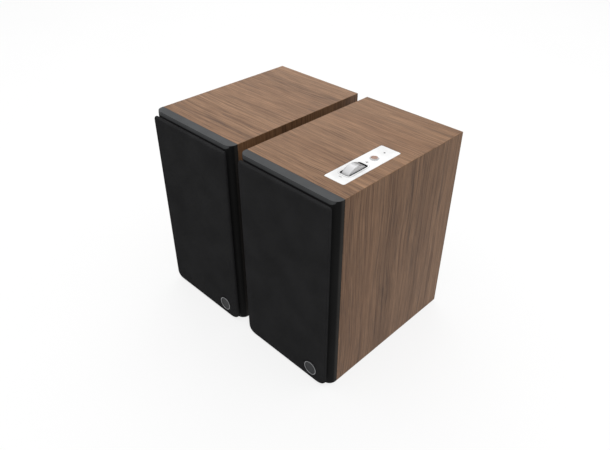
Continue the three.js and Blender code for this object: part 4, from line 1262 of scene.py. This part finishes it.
for side, material in (("right", right_walnut), ("left", left_walnut)):
    make_cabinet(side, material)
    make_baffle(side)
    make_port(side)
    make_feet(side)
    make_grille(side)
    make_tweeter(side)
    make_woofer(side)
    refinish(f"{side}_rear_panel", vinyl, 0.5)
    refinish(f"{side}_tweeter_motor", ferrite, 0.6)
    refinish(f"{side}_woofer_motor", ferrite, 0.8)
    refinish(f"{side}_woofer_spider", spider_cloth, 0.1)
make_controls()
make_amp_panel()
make_left_terminals()
refinish("amp_board", board, 0.2)
refinish("power_supply", steel, 0.4)
refinish("crossover_board", board, 0.3)


# ---------------------------------------------------------------- floor, light and camera

def plain_floor():
    mesh = bpy.data.meshes.new("floor")
    corners = [(9.0 * x, 9.0 * y, 0) for x, y in ((-1, -1), (1, -1), (1, 1), (-1, 1))]
    mesh.from_pydata(corners, [], [(0, 1, 2, 3)])
    g = Graph("floor_paint")
    haze = g.noise(g.coordinates(), 3.0, 2.0)
    g.shader.inputs["Emission Color"].default_value = (1, 1, 1, 1)
    g.shader.inputs["Emission Strength"].default_value = 0.80
    shade = g.tint(haze, (0.165, 0.165, 0.165), (0.18, 0.18, 0.18))
    mesh.materials.append(g.set(colour=shade, roughness=0.9, specular=0.0))
    floor = add_object("floor", mesh)
    floor.location.z = -0.0002


def softbox(name, place, aim, size, power):
    data = bpy.data.lights.new(name, "AREA")
    data.shape = "RECTANGLE"
    data.size, data.size_y = size
    data.energy = power
    lamp = add_object(name, data)
    lamp.location = place
    lamp.rotation_euler = (Vector(place) - Vector(aim)).to_track_quat("Z", "Y").to_euler()


def make_world(strength, backdrop):
    """Dim light from all round, and a pale backdrop beyond the floor."""
    world = bpy.data.worlds.new("studio")
    bpy.context.scene.world = world
    world.use_nodes = True
    tree = world.node_tree
    tree.nodes.clear()
    shades = []
    for level in (strength, backdrop):
        shade = tree.nodes.new("ShaderNodeBackground")
        shade.inputs["Color"].default_value = (1, 1, 1, 1)
        shade.inputs["Strength"].default_value = level
        shades.append(shade)
    seen = tree.nodes.new("ShaderNodeLightPath")
    mix = tree.nodes.new("ShaderNodeMixShader")
    out = tree.nodes.new("ShaderNodeOutputWorld")
    tree.links.new(seen.outputs["Is Camera Ray"], mix.inputs[0])
    tree.links.new(shades[0].outputs[0], mix.inputs[1])
    tree.links.new(shades[1].outputs[0], mix.inputs[2])
    tree.links.new(mix.outputs[0], out.inputs["Surface"])


def make_camera():
    """Stands off the right cabinet's lower front corner by so many of its heights."""
    low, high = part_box("right_cabinet")
    height = high.z - low.z
    stand_off = Vector((1.728934, -1.395309, 2.160930))
    azimuth, elevation, roll = (math.radians(a) for a in (44.635, 35.400, 0.1925))
    data = bpy.data.cameras.new("camera")
    data.sensor_width = 36.0
    data.lens = 34.62
    data.shift_x, data.shift_y = -0.0013, 0.0052
    data.clip_start, data.clip_end = 0.05, 50.0
    camera = add_object("camera", data)
    camera.location = low + height * stand_off
    turn = (
        Matrix.Rotation(azimuth, 3, "Z")
        @ Matrix.Rotation(math.pi / 2 - elevation, 3, "X")
        @ Matrix.Rotation(roll, 3, "Z")
    )
    camera.rotation_euler = turn.to_euler()
    bpy.context.scene.camera = camera


plain_floor()
make_world(0.28, 1.0)
softbox("overhead", (0.0, 0.1, 2.6), (0, 0, 0.2), (4.4, 4.4), 112)
softbox("backdrop", (-3.0, 3.0, 2.5), (0, 0, 0.25), (4.0, 3.0), 48)
make_camera()
bpy.context.scene.view_settings.view_transform = "Standard"
